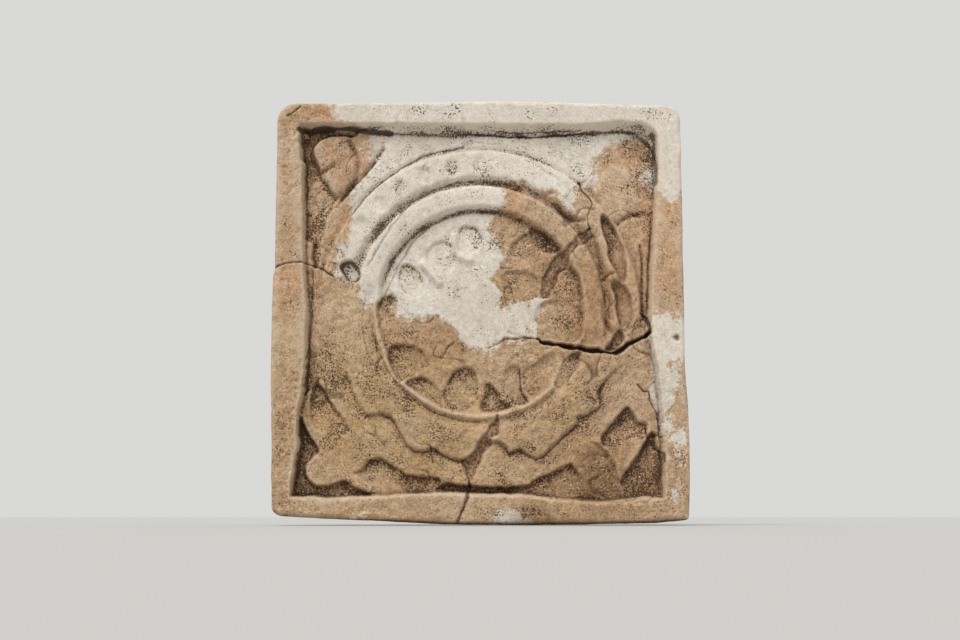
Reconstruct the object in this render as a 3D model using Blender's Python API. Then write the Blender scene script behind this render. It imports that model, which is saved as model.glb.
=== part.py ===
"""A nearly square late Gothic stove tile of fired clay, broken, glued together and filled with plaster.

The tile stands upright with its carved face towards -Y. The origin is the middle of its flat back,
so the plate lies in front of y = 0 and the stump of the broken collar stands behind it.
One tile is modelled whole, and each sherd or fill is what lies inside its own break lines.
"""

import math

import bmesh
import bpy
import numpy as np

# Driving sizes, in metres
TILE_WIDTH = 0.200
TILE_HEIGHT = 0.2036
PLATE_THICKNESS = 0.009
RIM_WIDTH = 0.0125
RIM_RISE = 0.011
RIM_ROUND = 0.0025
RECESS_WALL_RUN = 0.0015
TRACERY_RISE = 0.0045
COLLAR_INSET = 0.006
COLLAR_WALL = 0.008
COLLAR_STUMP = 0.0055
COLLAR_CHIPS = 0.0015
COLLAR_ROOT = 0.001
JOINT_GAP = 0.0003
OPEN_CRACK = 0.0018
GLUE_SUNK = 0.0016

# Outer corners of the rim: lower left chipped, lower right sharp, upper ones rounded
CORNER_RADII = (0.005, 0.0015, 0.009, 0.007)
# Corners of the recess, in the same order: only the upper right one is round
RECESS_RADII = (0.001, 0.001, 0.0015, 0.010)

# The carving and the breaks are drawn on a square, in hundredths of half its side, u to the right and v up
HALF = 100
SHARE = TILE_WIDTH / 2 / HALF
# The tile is this much taller than the drawing
TALL = TILE_HEIGHT / TILE_WIDTH
# Drawn as seen from the front and low down, the sunk carving is really this much larger
SPREAD = 1.009
SPREAD_FOOT = -95

# How fine the relief is worked, and how many triangles are kept of it
GRID_CELLS = 208
GRID_MARGIN = 4
RELIEF_TRIANGLES = 5700
OUTLINE_STEPS = 18
CORNER_STEPS = 5
COLLAR_STEPS = 22
SMALLEST_RADIUS = 0.0005

# Each side of the tile and of the recess wanders: (place along the side, how far out it lies)
EDGE_WANDER = (
    ((-95, -0.2), (-62, 0.2), (-30, 1.2), (0, 1.2), (15, 0.8), (19, 0), (92, -0.2)),
    ((-98, 0.9), (-80, 1.4), (-60, 1.4), (-43, 1), (-30, -0.1), (50, -0.3), (92, -0.5)),
    (
        (-95, -1.4), (-74, -0.2), (-51, 0.8), (-18, 2.5), (20, 2.8), (46, 2.6), (70, 2.2), (86, 1.8),
        (99, 0.6),
    ),
    ((-90, 0), (-40, 0.8), (12, 2), (40, 1.4), (66, 0.7), (93, -0.1)),
)
RECESS_WANDER = (
    (
        (-90, 3.1), (-77, 1.6), (-69, 0.3), (-48, -0.1), (-30, -2.9), (0, -3.4), (21, -1.8), (61, -0.6),
        (89, 1.1),
    ),
    (
        (-90, 1), (-73, 1.7), (-50, 0.7), (-26, -1.3), (-9, -5.3), (0, -4.3), (31, -2.6), (58, -0.6),
        (76, 0.4),
    ),
    ((-90, 1.7), (-71, 2.4), (-47, 1.7), (-20, 0), (20, 1), (46, 4.1), (60, 4.5), (80, 2), (88, 2.5)),
    ((-88, 2.5), (-40, 2.3), (50, 2.3), (69, 4.2), (80, 3.5)),
)

# The rose: its middle, and its turned profile as (radius, share of the tracery's rise)
ROSE_MIDDLE = (0, -2)
LOWER_PROFILE = (
    (0, 0.92), (46.5, 0.92), (48.4, 1.15), (49.6, 1.5), (51.2, 1.3), (58, 1.42), (66, 1.34), (76, 1.08),
    (84, 1),
)
UPPER_PROFILE = (
    (0, 0.92), (47.6, 0.88), (48.6, 0.8), (51.2, 1.62), (53, 1.75), (56.5, 1.8), (60, 1.62), (61.8, 1.12),
    (63, 1.2), (66, 1.66), (68, 1.7), (77.5, 1.42), (79.3, 0.95), (81, 1.12), (88, 1),
)
# Above this line the rose has its upper profile
PROFILE_CHANGE = ((-60, 4), (-40, 0), (30, -14), (50, -19), (80, -16))
PROFILE_BLEND = 14

# The scalloped lower edge of the rose's moulding
SCALLOPS = (
    (-66, -22), (-62, -38), (-56, -49), (-51.5, -51), (-47, -50.2), (-42, -52.7), (-40, -57), (-37.7, -60),
    (-35.5, -64.5), (-32.3, -67.6), (-27, -68), (-22, -66.8), (-18, -69.5), (-11.5, -72.2), (-6, -71.5),
    (-1.5, -68.3), (0.2, -63.8), (8, -63.6), (12.5, -66), (14, -69), (19.2, -67.3), (22.5, -69.6),
    (26.5, -71.2), (30.5, -70.2), (35, -65.6), (40, -61), (44, -57.7), (47, -55), (47.7, -52.2),
    (53, -50.4), (58.4, -46.4), (57, -41), (60.3, -35), (68, -27), (76, -16), (76, 10), (64, 30),
    (0, 60), (-64, 30), (-72, 0),
)
SCALLOP_GROUND = 0.86
SCALLOP_ROUND = 2.2
# How far below the rose's middle the scallops begin to show, and how the ground rises beyond them
SCALLOP_START = 24
SCALLOP_BLEND = 14
SCALLOP_FADE = 12

# Half the width of the bent ribs between the cells of the rose
RIB_REACH = 2.6

# The arcade of shallow cells in the upper band of the rose
ARCADE_CELLS = 6
ARCADE_FIRST = math.radians(90)
ARCADE_STEP = math.radians(10.8)
ARCADE_RADIUS = 70.5
ARCADE_DEPTH = 0.22
ARCADE_HALF_HEIGHT = 4.2
ARCADE_HALF_WIDTH = 3

# Break lines between the pieces, each run from one meeting point to the next, or well out past the rim
OUTSIDE = HALF + 18
BREAKS = {
    "left rim": (
        (-OUTSIDE, 17.8), (-99.5, 17.8), (-94, 20.3), (-85.4, 21), (-79.8, 20), (-75.5, 18), (-70.8, 14.8),
    ),
    "plaster's left": (
        (-70.8, 14.8), (-69, 19.8), (-66.2, 25.8), (-62.4, 34), (-62.6, 44), (-61.6, 51), (-60, 57.6),
        (-54.3, 66), (-51, 72), (-47.6, 78), (-49, 84), (-60, 88), (-72.8, 90.7), (-73.5, 96), (-77, 100.4),
        (-79, OUTSIDE),
    ),
    "plaster's foot": (
        (-70.8, 14.8), (-65, 13), (-58.2, 11), (-57.6, 4.5), (-54.5, 1), (-49, 2.5), (-43, 6), (-40, -2.7),
        (-34.4, -6), (-27.7, -4), (-21, -3.3), (-16.5, -6.6), (-11.2, -9.9), (-9.2, -15.3), (-3.9, -19.2),
        (4.5, -19),
    ),
    "plaster's toe": ((4.5, -19), (8.6, -17.6), (12, -14.8), (19.9, -14.3), (28, -14.5)),
    "plaster's tongue": ((28, -14.5), (27.5, -9), (27.6, -4), (29.5, 1), (31, 5)),
    "ring sherd's left": (
        (31, 5), (22, 3.9), (10.3, 0), (10, 9.2), (5.3, 13.8), (11.9, 22.4), (10, 30), (3.3, 37.7),
        (10, 48), (13.6, 54), (10.3, 59.6), (20.6, 61), (24.5, 55.6), (29.8, 54.6), (37, 56.3),
        (42, 52.5), (48.7, 60.6),
    ),
    "ring sherd's right": ((48.7, 60.6), (51, 56), (55, 51), (53, 43), (53.5, 38)),
    "ring glue's left": (
        (53.5, 38), (48, 35), (46.4, 31.5), (41, 27.5), (38.5, 25.5), (35.8, 21.8), (31.5, 15), (30.5, 9),
        (31, 5),
    ),
    "ring glue's right": (
        (53.5, 38), (55, 34.5), (49.5, 31), (46, 28.5), (43.5, 24), (41.8, 19.8), (38, 17), (37, 13),
        (33.5, 6), (31, 5),
    ),
    "plaster's right": (
        (48.7, 60.6), (54.4, 63), (56.4, 69.5), (59.7, 74), (66.3, 79.5), (76, 83.5), (84, 80), (87, 70),
        (87.2, 57), (91.5, 54.6), (95.5, 53), (98.5, 57), (OUTSIDE, 57),
    ),
    "open crack": (
        (28, -14.5), (29.8, -16), (39.8, -17.9), (47.7, -19.2), (56.4, -20.2), (61.7, -21.6), (66.3, -20.9),
        (72.9, -16.6), (79.6, -13.9), (82, -12),
    ),
    "rim fill's inner end": ((82, -12), (82.3, -8), (83, -4)),
    "rim fill's top": ((83, -4), (90, -3.2), (99, -4.5), (OUTSIDE, -4.5)),
    "rim fill's foot": (
        (82, -12), (83, -20), (85.5, -28), (88.2, -34.5), (92.2, -31), (92.8, -26.5), (99, -25),
        (OUTSIDE, -25),
    ),
    "bottom rim": ((-10.8, -OUTSIDE), (-10.5, -101), (-5.9, -89.5), (-4.8, -84)),
    "lower glue's left": (
        (-4.8, -84), (-6, -78), (-8.8, -72.5), (-6, -71.3), (-1.5, -68), (0.2, -63), (4, -59.5), (6, -56),
        (8.6, -51.5),
    ),
    "lower glue's right": (
        (-4.8, -84), (-3.5, -80), (0, -73), (1, -69), (5, -65), (5.5, -61), (9, -60), (9.4, -56),
        (8.6, -51.5),
    ),
    "seam's top": ((8.6, -51.5), (8.2, -46), (4.5, -40), (3.5, -36), (4, -28), (4.5, -19)),
}

# What each piece's outline runs through. A minus sign runs a break backwards, and a pair is a far corner.
PIECES = {
    "upper_left_sherd": ("left rim", "plaster's left", (-OUTSIDE, OUTSIDE)),
    "lower_left_sherd": (
        "-left rim", (-OUTSIDE, -OUTSIDE), "bottom rim", "lower glue's left", "seam's top",
        "-plaster's foot",
    ),
    "lower_right_sherd": (
        "bottom rim", "lower glue's right", "seam's top", "plaster's toe", "open crack", "rim fill's foot",
        (OUTSIDE, -OUTSIDE),
    ),
    "right_sherd": (
        "-plaster's tongue", "open crack", "rim fill's inner end", "rim fill's top", "-plaster's right",
        "ring sherd's right", "ring glue's right",
    ),
    "ring_sherd": ("ring sherd's left", "ring sherd's right", "ring glue's left"),
    "plaster_fill": (
        "plaster's foot", "plaster's toe", "plaster's tongue", "ring sherd's left", "plaster's right",
        (OUTSIDE, OUTSIDE), "-plaster's left",
    ),
    "rim_plaster_fill": ("rim fill's inner end", "rim fill's top", "-rim fill's foot"),
    "lower_glue_fill": ("lower glue's left", "-lower glue's right"),
    "ring_glue_fill": ("ring glue's left", "-ring glue's right"),
}
# Which side of the open crack a piece lies on
CRACK_SIDE = {"right_sherd": 1, "lower_right_sherd": -1}
# Corners nearer than this are one corner, and a sharp corner is moved no further than this many insets
SAME_CORNER = 0.01
LONGEST_MITRE = 8
# How wide a border the sunk glue takes with it
GLUE_EDGE = 1.2
# The broken top of the collar's stump: waves as (turn a step, start, share of the chips' height)
CHIP_WAVES = ((1.7, 0, 0.5), (0.61, 1, 0.35), (2.9, 2, 0.15))
# The outer edge of the stump has fallen lower than the inner: (least, extra, turn a step)
CHIP_FALL = (0.6, 0.4, 1.1)

# Surface of each kind of piece: colour and roughness
CLAY = ((0.46, 0.30, 0.19), 0.95)
PLASTER = ((0.66, 0.62, 0.54), 0.9)
GLUE = ((0.09, 0.045, 0.022), 0.55)


def curve_through(points, closed=True, steps=4):
    """A smooth curve through the points, as places along it."""
    points = np.array(points, float)
    count = len(points)
    curve = []
    for i in range(count if closed else count - 1):
        ends = [i - 1, i, i + 1, i + 2]
        ends = [k % count for k in ends] if closed else [min(max(k, 0), count - 1) for k in ends]
        a, b, c, d = points[ends]
        for t in np.arange(steps) / steps:
            bend = (2 * a - 5 * b + 4 * c - d) * t**2 + (3 * b - a - 3 * c + d) * t**3
            curve.append(b + 0.5 * ((c - a) * t + bend))
    return np.array(curve if closed else [*curve, points[-1]])


def eased(share):
    share = np.clip(share, 0, 1)
    return share * share * (3 - 2 * share)


def inside_sides(u, v, inset, wander, radii):
    """How far each place lies inside the tile's wandering sides, moved in by inset and rounded at corners."""
    left, right, bottom, top = ([np.array(column) for column in zip(*side)] for side in wander)
    half_width = HALF - inset
    half_height = HALF * TALL - inset
    from_left = u + half_width + np.interp(v / TALL, *left)
    from_right = half_width + np.interp(v / TALL, *right) - u
    from_bottom = v + half_height + np.interp(u, *bottom)
    from_top = half_height + np.interp(u, *top) - v
    depth = np.minimum(np.minimum(from_left, from_right), np.minimum(from_bottom, from_top))
    corners = ((from_left, from_bottom), (from_right, from_bottom), (from_left, from_top),
               (from_right, from_top))
    for (a, b), radius in zip(corners, radii):
        rounded = radius - np.hypot(radius - a, radius - b)
        depth = np.where((a < radius) & (b < radius), rounded, depth)
    return depth


class Relief:
    """The face as a sheet of levels: 0 is the ground of the carving and 1 the tracery's face."""

    def __init__(self):
        ends = np.linspace(-1, 1, GRID_CELLS + 1)
        across = ends * (HALF + GRID_MARGIN)
        upward = ends * (HALF * TALL + GRID_MARGIN)
        self.tile_u, self.tile_v = np.meshgrid(across, upward)
        self.u = self.tile_u / SPREAD
        self.v = (self.tile_v / TALL - SPREAD_FOOT) / SPREAD + SPREAD_FOOT
        self.level = np.ones_like(self.u)

    def around(self, curve, reach):
        """The part of the sheet that lies within reach of a curve."""
        low = curve.min(axis=0) - reach
        high = curve.max(axis=0) + reach
        columns = np.flatnonzero((self.u[0] >= low[0]) & (self.u[0] <= high[0]))
        rows = np.flatnonzero((self.v[:, 0] >= low[1]) & (self.v[:, 0] <= high[1]))
        return slice(rows[0], rows[-1] + 1), slice(columns[0], columns[-1] + 1)

    def distance(self, curve, at, closed=True):
        """Distance to a curve; for a closed one it is positive inside and negative outside."""
        u = self.u[at]
        v = self.v[at]
        near = np.full(u.shape, np.inf)
        within = np.zeros(u.shape, bool)
        ends = np.roll(curve, -1, axis=0) if closed else curve[1:]
        for (start_u, start_v), (end_u, end_v) in zip(curve, ends):
            run_u = end_u - start_u
            run_v = end_v - start_v
            length = max(run_u * run_u + run_v * run_v, 1e-12)
            along = np.clip(((u - start_u) * run_u + (v - start_v) * run_v) / length, 0, 1)
            near = np.minimum(near, np.hypot(u - start_u - along * run_u, v - start_v - along * run_v))
            if closed and start_v != end_v:
                within ^= ((start_v > v) != (end_v > v)) & (u < start_u + (v - start_v) * run_u / run_v)
        return np.where(within, near, -near) if closed else near

    def sink(self, outline, floor, fall=None, wall=1.6):
        """Sinks what lies inside an outline, with a wall outside it that is sharp at its foot.

        floor is one level, or the levels at the start and the end of fall, as (u, v, u, v).
        """
        curve = curve_through(outline)
        at = self.around(curve, wall)
        if fall is not None:
            start = np.array(fall[:2])
            way = np.array(fall[2:]) - start
            along = ((self.u[at] - start[0]) * way[0] + (self.v[at] - start[1]) * way[1]) / (way @ way)
            floor = floor[0] + (floor[1] - floor[0]) * np.clip(along, 0, 1)
        share = np.clip(1 + self.distance(curve, at) / wall, 0, 1) ** 2
        self.level[at] += (np.minimum(floor, self.level[at]) - self.level[at]) * share

    def lift(self, outline, level, wall):
        """Raises what lies inside an outline, rounded over at its top."""
        curve = curve_through(outline)
        at = self.around(curve, 0)
        share = 1 - (1 - np.clip(self.distance(curve, at) / wall, 0, 1)) ** 2
        self.level[at] += (np.maximum(level, self.level[at]) - self.level[at]) * share

    def line(self, run, height, width):
        """A soft ridge, or with a negative height a groove, along an open run."""
        curve = curve_through(run, closed=False)
        at = self.around(curve, width)
        self.level[at] += height * (1 - eased(self.distance(curve, at, closed=False) / width))


def carve_rose_ground(relief):
    """The turned rings of the rose, and the scalloped edge that ends its moulding below."""
    u = relief.u
    v = relief.v
    radius = np.hypot(u - ROSE_MIDDLE[0], v - ROSE_MIDDLE[1])
    lower = np.interp(radius, *zip(*LOWER_PROFILE))
    upper = np.interp(radius, *zip(*UPPER_PROFILE))
    is_upper = eased((v - np.interp(u, *zip(*PROFILE_CHANGE))) / PROFILE_BLEND)
    relief.level = lower + (upper - lower) * is_upper
    curve = curve_through(SCALLOPS)
    inside = relief.distance(curve, np.s_[:, :])
    below = eased((-v - SCALLOP_START) / SCALLOP_BLEND)
    rounded = 1 - (1 - np.clip(inside / SCALLOP_ROUND, 0, 1)) ** 2
    moulding = SCALLOP_GROUND + (relief.level - SCALLOP_GROUND) * rounded
    risen = SCALLOP_GROUND + (1 - SCALLOP_GROUND) * np.clip(-inside / SCALLOP_FADE, 0, 1)
    beyond = np.minimum(relief.level, risen)
    relief.level += (np.where(inside > 0, moulding, beyond) - relief.level) * below


def carve_arcade(relief):
    """Small shallow cells that follow one another round the upper band."""
    for k in range(ARCADE_CELLS):
        angle = ARCADE_FIRST + k * ARCADE_STEP
        from_u = relief.u - ROSE_MIDDLE[0] - ARCADE_RADIUS * math.cos(angle)
        from_v = relief.v - ROSE_MIDDLE[1] - ARCADE_RADIUS * math.sin(angle)
        outward = from_u * math.cos(angle) + from_v * math.sin(angle)
        sideways = from_v * math.cos(angle) - from_u * math.sin(angle)
        away = (outward / ARCADE_HALF_HEIGHT) ** 4 + (sideways / ARCADE_HALF_WIDTH) ** 4
        relief.level -= ARCADE_DEPTH * np.exp(-away)


def carve_rose_cells(relief):
    """The sunk cells of the rose, from the left round the foot to the right and the top."""
    relief.sink(((-49.5, 0), (-47, 4), (-43.5, 6), (-40.5, 4.5), (-40, 0), (-41, -4), (-45, -8),
                 (-48, -7)), (0.55, 0.8), (-44, 4, -45, -7))
    relief.sink(((-44, -21.5), (-41, -18.5), (-36, -17.8), (-30.5, -19), (-27, -22.5), (-25, -27),
                 (-29, -30.5), (-35, -33.5), (-38.5, -34.5), (-42, -29)), (0.4, 0.75),
                (-36, -19, -33, -34))
    relief.sink(((-35, -36), (-31, -34), (-27.5, -33.5), (-23, -36), (-20, -40), (-19, -45), (-24, -43),
                 (-30, -39.5)), (0.4, 0.6), (-27, -34, -23, -43))
    relief.sink(((-17.5, -43), (-14.5, -35), (-11, -30), (-7, -28.6), (-3.5, -29.5), (-1.5, -33),
                 (-1, -40), (-2.5, -46.5), (-8, -48), (-14, -47)), (0.35, 0.65), (-8, -29, -8, -48))
    relief.sink(((3, -36.5), (5.5, -37), (9, -41), (10, -44), (14.5, -46.7), (8, -49), (1.5, -48.5),
                 (1.5, -45), (3, -42)), 0.45)
    relief.sink(((12, -31), (16, -28), (19.3, -29), (19.7, -37), (22.8, -44), (20, -46), (15, -44.5),
                 (11.5, -38)), (0.5, 0.75), (19.5, -34, 12, -36))
    relief.sink(((21, -31), (27, -27), (34, -22), (37, -24), (36, -31), (31, -38), (26, -42),
                 (21.5, -38)), (0.55, 0.75), (25, -29, 33, -36))
    relief.sink(((42, -24), (48, -21.5), (47, -27), (43, -33), (38.5, -38), (36.5, -36), (39, -30)),
                (0.6, 0.8), (46, -23, 39, -37))
    relief.sink(((27.5, -2), (31, 2.5), (38, 3.5), (44, 2), (49, -1), (49.5, -8), (48, -14.5),
                 (40, -15.5), (31, -14), (27.3, -9)), (0.62, 0.85), (38, 3, 38, -14))
    relief.sink(((37.5, 17), (42, 19.5), (46.5, 17), (49, 10), (49, 3.5), (44, 2.5), (38, 4.5),
                 (35.5, 10)), (0.5, 0.7), (42, 18, 42, 3))
    relief.sink(((12, 16), (18, 17.5), (26, 16), (28.5, 12), (27, 8), (20, 7), (13, 8)), (0.6, 0.75),
                (20, 17, 20, 8))
    relief.sink(((14, 22), (15.5, 29), (20, 34), (25, 36.5), (28, 33), (30, 27), (27, 22.5), (20, 20.5)),
                (0.45, 0.75), (22, 34, 21, 21))
    relief.sink(((25, 38.5), (30, 37), (36, 32), (39, 28.5), (35, 27), (30, 28), (27, 31)), (0.3, 0.45),
                (32, 35, 30, 29))
    relief.sink(((-9.5, 38), (-6, 39.5), (-1, 37.5), (1.5, 33), (-1, 28.5), (-5, 27.5), (-9, 32)),
                (0.55, 0.75), (-5, 38, -4, 28))
    relief.sink(((-25.7, 24.4), (-23.6, 29.8), (-18.5, 32), (-13.4, 29.8), (-11.3, 24.4), (-13.4, 19),
                 (-18.5, 16.8), (-23.6, 19)), (0.62, 0.8), (-18, 31, -18, 17))
    relief.sink(((-38, 19), (-35, 20.5), (-31, 18.5), (-27.5, 13), (-27, 8), (-30, 5.5), (-35, 7),
                 (-38.5, 12)), (0.5, 0.7), (-34, 18, -30, 6))
    relief.line(((-27.5, 21), (-24, 17), (-19.5, 12)), 0.42, RIB_REACH)
    relief.line(((-12.5, 34.5), (-11, 26), (-4.5, 23)), 0.36, RIB_REACH)


def carve_upper_left(relief):
    """The deep ground of the upper left corner round its lobed leaf, and the block on the left rim."""
    relief.sink(((-93, 93), (-38, 93), (-42, 87.6), (-57, 86.8), (-60, 83), (-62.5, 81), (-64.5, 83.5),
                 (-67, 84.5), (-72, 84.3), (-77.5, 82.8), (-80.5, 80), (-82, 76.5), (-81.2, 73),
                 (-79, 68.5), (-78.3, 66), (-77.5, 62), (-75, 60), (-72.5, 56), (-69.8, 53.3),
                 (-72.5, 48), (-76, 40), (-77, 33), (-80, 31.2), (-85, 33), (-93, 36)), (-0.1, 0.72),
                (-84, 76, -76, 42), wall=1.8)
    relief.lift(((-88, 32), (-85, 32.5), (-81, 31), (-80.6, 24), (-81, 18), (-88, 18)), 1.25, wall=1.5)
    relief.sink(((-80.3, 30), (-78.6, 30.5), (-77.5, 26), (-78.4, 20.5), (-80.2, 20)), (0.35, 0.8),
                (-80, 25, -77.5, 25))
    relief.sink(((-67, 20), (-62, 21.5), (-58, 17), (-59, 13), (-64, 13.5)), 0.75)


def carve_lower_left(relief):
    """The openings of the lower left corner, and the slot above the bottom rim."""
    relief.sink(((-85.5, -23), (-81.5, -21), (-78, -27), (-77.5, -34), (-80, -38.3), (-85, -38)),
                (0.3, 0.95), (-85, -30, -77, -29))
    relief.sink(((-83.8, -38.8), (-86.3, -44), (-86.3, -52), (-84, -57.5), (-81.5, -61.5), (-77.3, -67.8),
                 (-80, -70), (-83.2, -73.5), (-84, -78), (-82, -82), (-78.5, -84.2), (-74, -85),
                 (-69.5, -84), (-66.5, -82.8), (-63.5, -82.6), (-60, -85), (-54, -88), (-46, -90),
                 (-46, -96), (-96, -96), (-96, -38.8)), (-0.1, 0.3), (-86, -70, -55, -90))
    relief.sink(((-79.5, -37.2), (-77.2, -37.6), (-70, -48), (-63, -57.5), (-66, -59.8), (-73, -58.8),
                 (-79, -56), (-80.8, -47)), (0.1, 0.9), (-73, -44, -79, -60))
    relief.sink(((-60, -78.4), (-56.5, -77.3), (-53.5, -74), (-50.5, -72), (-47, -71.8), (-42, -74.8),
                 (-35.5, -78.8), (-35, -82), (-44, -86), (-52, -84), (-57, -80)), (0.2, 0.92),
                (-47, -73, -49, -84))
    relief.sink(((-37, -79.5), (-28, -80.5), (-20.5, -80.5), (-18.5, -83), (-19.5, -87), (-28, -88),
                 (-36, -86)), (0.35, 0.6), (-28, -81, -28, -88))
    relief.sink(((-17.8, -84), (-10, -84.4), (0, -85.2), (13, -86), (13, -91), (-18.8, -91)), -0.1,
                wall=1)


def carve_lower_right(relief):
    """The openings of the lower right corner and the bar between them."""
    relief.sink(((13, -86), (24, -84), (26, -82.3), (34, -78.8), (43, -74.3), (44.6, -74.8), (46.8, -78),
                 (51.8, -83.4), (50, -87), (40, -89), (24, -91), (13, -91)), (0.15, 0.85),
                (40, -76.5, 44, -89))
    relief.sink(((50, -73), (57, -70), (62.5, -73), (66.5, -80), (68.5, -84), (72, -92), (52, -92),
                 (52.5, -84)), 0.6, wall=5)
    relief.sink(((70, -48.6), (72.5, -49), (74.5, -52), (76.5, -54.7), (80, -55), (80, -60), (76, -66.5),
                 (70, -75), (67.5, -77), (66, -71.5), (63, -67), (59, -62.3)), (0.1, 0.95),
                (66, -56, 75, -68))
    relief.sink(((82.5, -60), (84.4, -61.5), (84.8, -66), (87.5, -69.5), (92, -72), (92, -95), (72, -95),
                 (70.5, -86), (68.3, -83), (69.5, -79.5), (76, -70.5)), (0.05, 0.5), (73, -77, 84, -86))
    relief.line(((54.4, -63), (59, -64.5), (63, -68.5), (66, -73.5), (67.3, -80), (69, -82)), 0.25, 1.5)


def carve_right(relief):
    """The grooves and cusps beside the ring on the right, and the soft lobe above them."""
    relief.line(((55, 34), (58, 26), (59, 19), (58.3, 13), (60.3, 6), (60, 0), (60.5, -6), (64, -11.5)),
                -0.4, 1.8)
    relief.sink(((60, 45), (60.5, 37), (63, 30), (63.5, 24), (66, 19), (70, 12), (70.8, 18), (70, 26),
                 (68, 33), (66, 38)), (0.4, 0.85), (63, 32, 70, 30))
    relief.sink(((66.5, 8), (70, 11), (73, 4), (74, -4), (72, -10), (69, -10), (67, -3)), (0.65, 0.9),
                (67, 2, 74, 2))
    relief.sink(((61.5, -19.5), (64.5, -15.5), (67.5, -11), (69, -11), (69.5, -15), (67, -18.5),
                 (64, -20)), 0.4)
    relief.lift(((57, 62), (56, 55), (59, 48), (63, 43), (67.5, 41), (72, 44.5), (78, 46.5), (80, 54),
                 (77, 62), (73, 68), (66, 70), (60, 67)), 1.35, wall=5)
    relief.sink(((71, 80), (80, 82), (85, 72), (85, 57), (81, 55), (79, 64), (75, 71)), 0.72, wall=4)


def sink_glue(relief):
    """The glue lies lower than the clay on both sides of it."""
    for name in ("lower glue", "ring glue"):
        outline = [*BREAKS[name + "'s left"][:-1], *BREAKS[name + "'s right"][:0:-1]]
        curve = curve_through(outline, steps=1)
        at = relief.around(curve, GLUE_EDGE)
        share = np.clip(1 + relief.distance(curve, at) / GLUE_EDGE, 0, 1)
        relief.level[at] -= GLUE_SUNK / TRACERY_RISE * share


def face_heights():
    """Heights of the whole face over the back, in metres, and the sheet of places they belong to."""
    relief = Relief()
    carve_rose_ground(relief)
    carve_arcade(relief)
    carve_rose_cells(relief)
    carve_upper_left(relief)
    carve_lower_left(relief)
    carve_lower_right(relief)
    carve_right(relief)
    sink_glue(relief)
    rise = relief.level * TRACERY_RISE
    recess = inside_sides(relief.tile_u, relief.tile_v, RIM_WIDTH / SHARE, RECESS_WANDER,
                          [radius / SHARE for radius in RECESS_RADII])
    rise += (RIM_RISE - rise) * (1 - eased(recess * SHARE / RECESS_WALL_RUN))
    edge = inside_sides(relief.tile_u, relief.tile_v, 0, EDGE_WANDER,
                        [radius / SHARE for radius in CORNER_RADII])
    off_edge = 1 - np.clip(edge * SHARE / RIM_ROUND, 0, 1)
    rise -= RIM_ROUND * (1 - np.sqrt(1 - off_edge**2))
    return relief, PLATE_THICKNESS + rise


def outline_of(inset, steps):
    """The tile's outline, drawn in by inset: (u, v) places, anticlockwise from the lower left."""
    left, right, bottom, top = ([np.array(column) for column in zip(*side)] for side in EDGE_WANDER)
    half_width = HALF - inset / SHARE
    half_height = HALF * TALL - inset / SHARE
    radii = [max(radius - inset, SMALLEST_RADIUS) / SHARE for radius in CORNER_RADII]
    low_left, low_right, high_left, high_right = radii
    places = []
    for u in np.linspace(-half_width + low_left, half_width - low_right, steps):
        places.append((u, -half_height - np.interp(u, *bottom)))
    for v in np.linspace(-half_height + low_right, half_height - high_right, steps):
        places.append((half_width + np.interp(v / TALL, *right), v))
    for u in np.linspace(half_width - high_right, -half_width + high_left, steps):
        places.append((u, half_height + np.interp(u, *top)))
    for v in np.linspace(half_height - high_left, -half_height + low_left, steps):
        places.append((-half_width - np.interp(v / TALL, *left), v))
    return rounded_corners(places, steps)


def rounded_corners(places, steps):
    """Puts a quarter turn between the end of each side and the start of the next."""
    outline = []
    for side in range(4):
        run = places[side * steps:(side + 1) * steps]
        after = places[(side + 1) * steps % len(places)]
        outline.extend(run)
        (end_u, end_v) = run[-1]
        for k in range(1, CORNER_STEPS):
            turn = math.radians(90) * k / CORNER_STEPS
            swing = (math.sin(turn), 1 - math.cos(turn))
            along_u, along_v = swing if side % 2 == 0 else swing[::-1]
            outline.append((end_u + (after[0] - end_u) * along_u, end_v + (after[1] - end_v) * along_v))
    return outline


def on_tile(u, v, depth=0.0):
    """A place on the tile's face, in the drawing's unit, as a point in space."""
    return (u * SHARE, depth, v * SHARE)


def new_object(name, mesh):
    made = bpy.data.objects.new(name, mesh)
    bpy.context.scene.collection.objects.link(made)
    return made


def as_helper(made):
    made.hide_render = True
    made.display_type = "WIRE"
    return made


def prism(name, places, near, far):
    """A closed block whose outline is the places, from y = near to y = far."""
    block = bmesh.new()
    foot = block.faces.new([block.verts.new(on_tile(u, v, near)) for u, v in places])
    lid = bmesh.ops.extrude_face_region(block, geom=[foot])
    moved = [vertex for vertex in lid["geom"] if isinstance(vertex, bmesh.types.BMVert)]
    bmesh.ops.translate(block, vec=(0, far - near, 0), verts=moved)
    bmesh.ops.recalc_face_normals(block, faces=block.faces)
    mesh = bpy.data.meshes.new(name)
    block.to_mesh(mesh)
    block.free()
    return as_helper(new_object(name, mesh))


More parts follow.
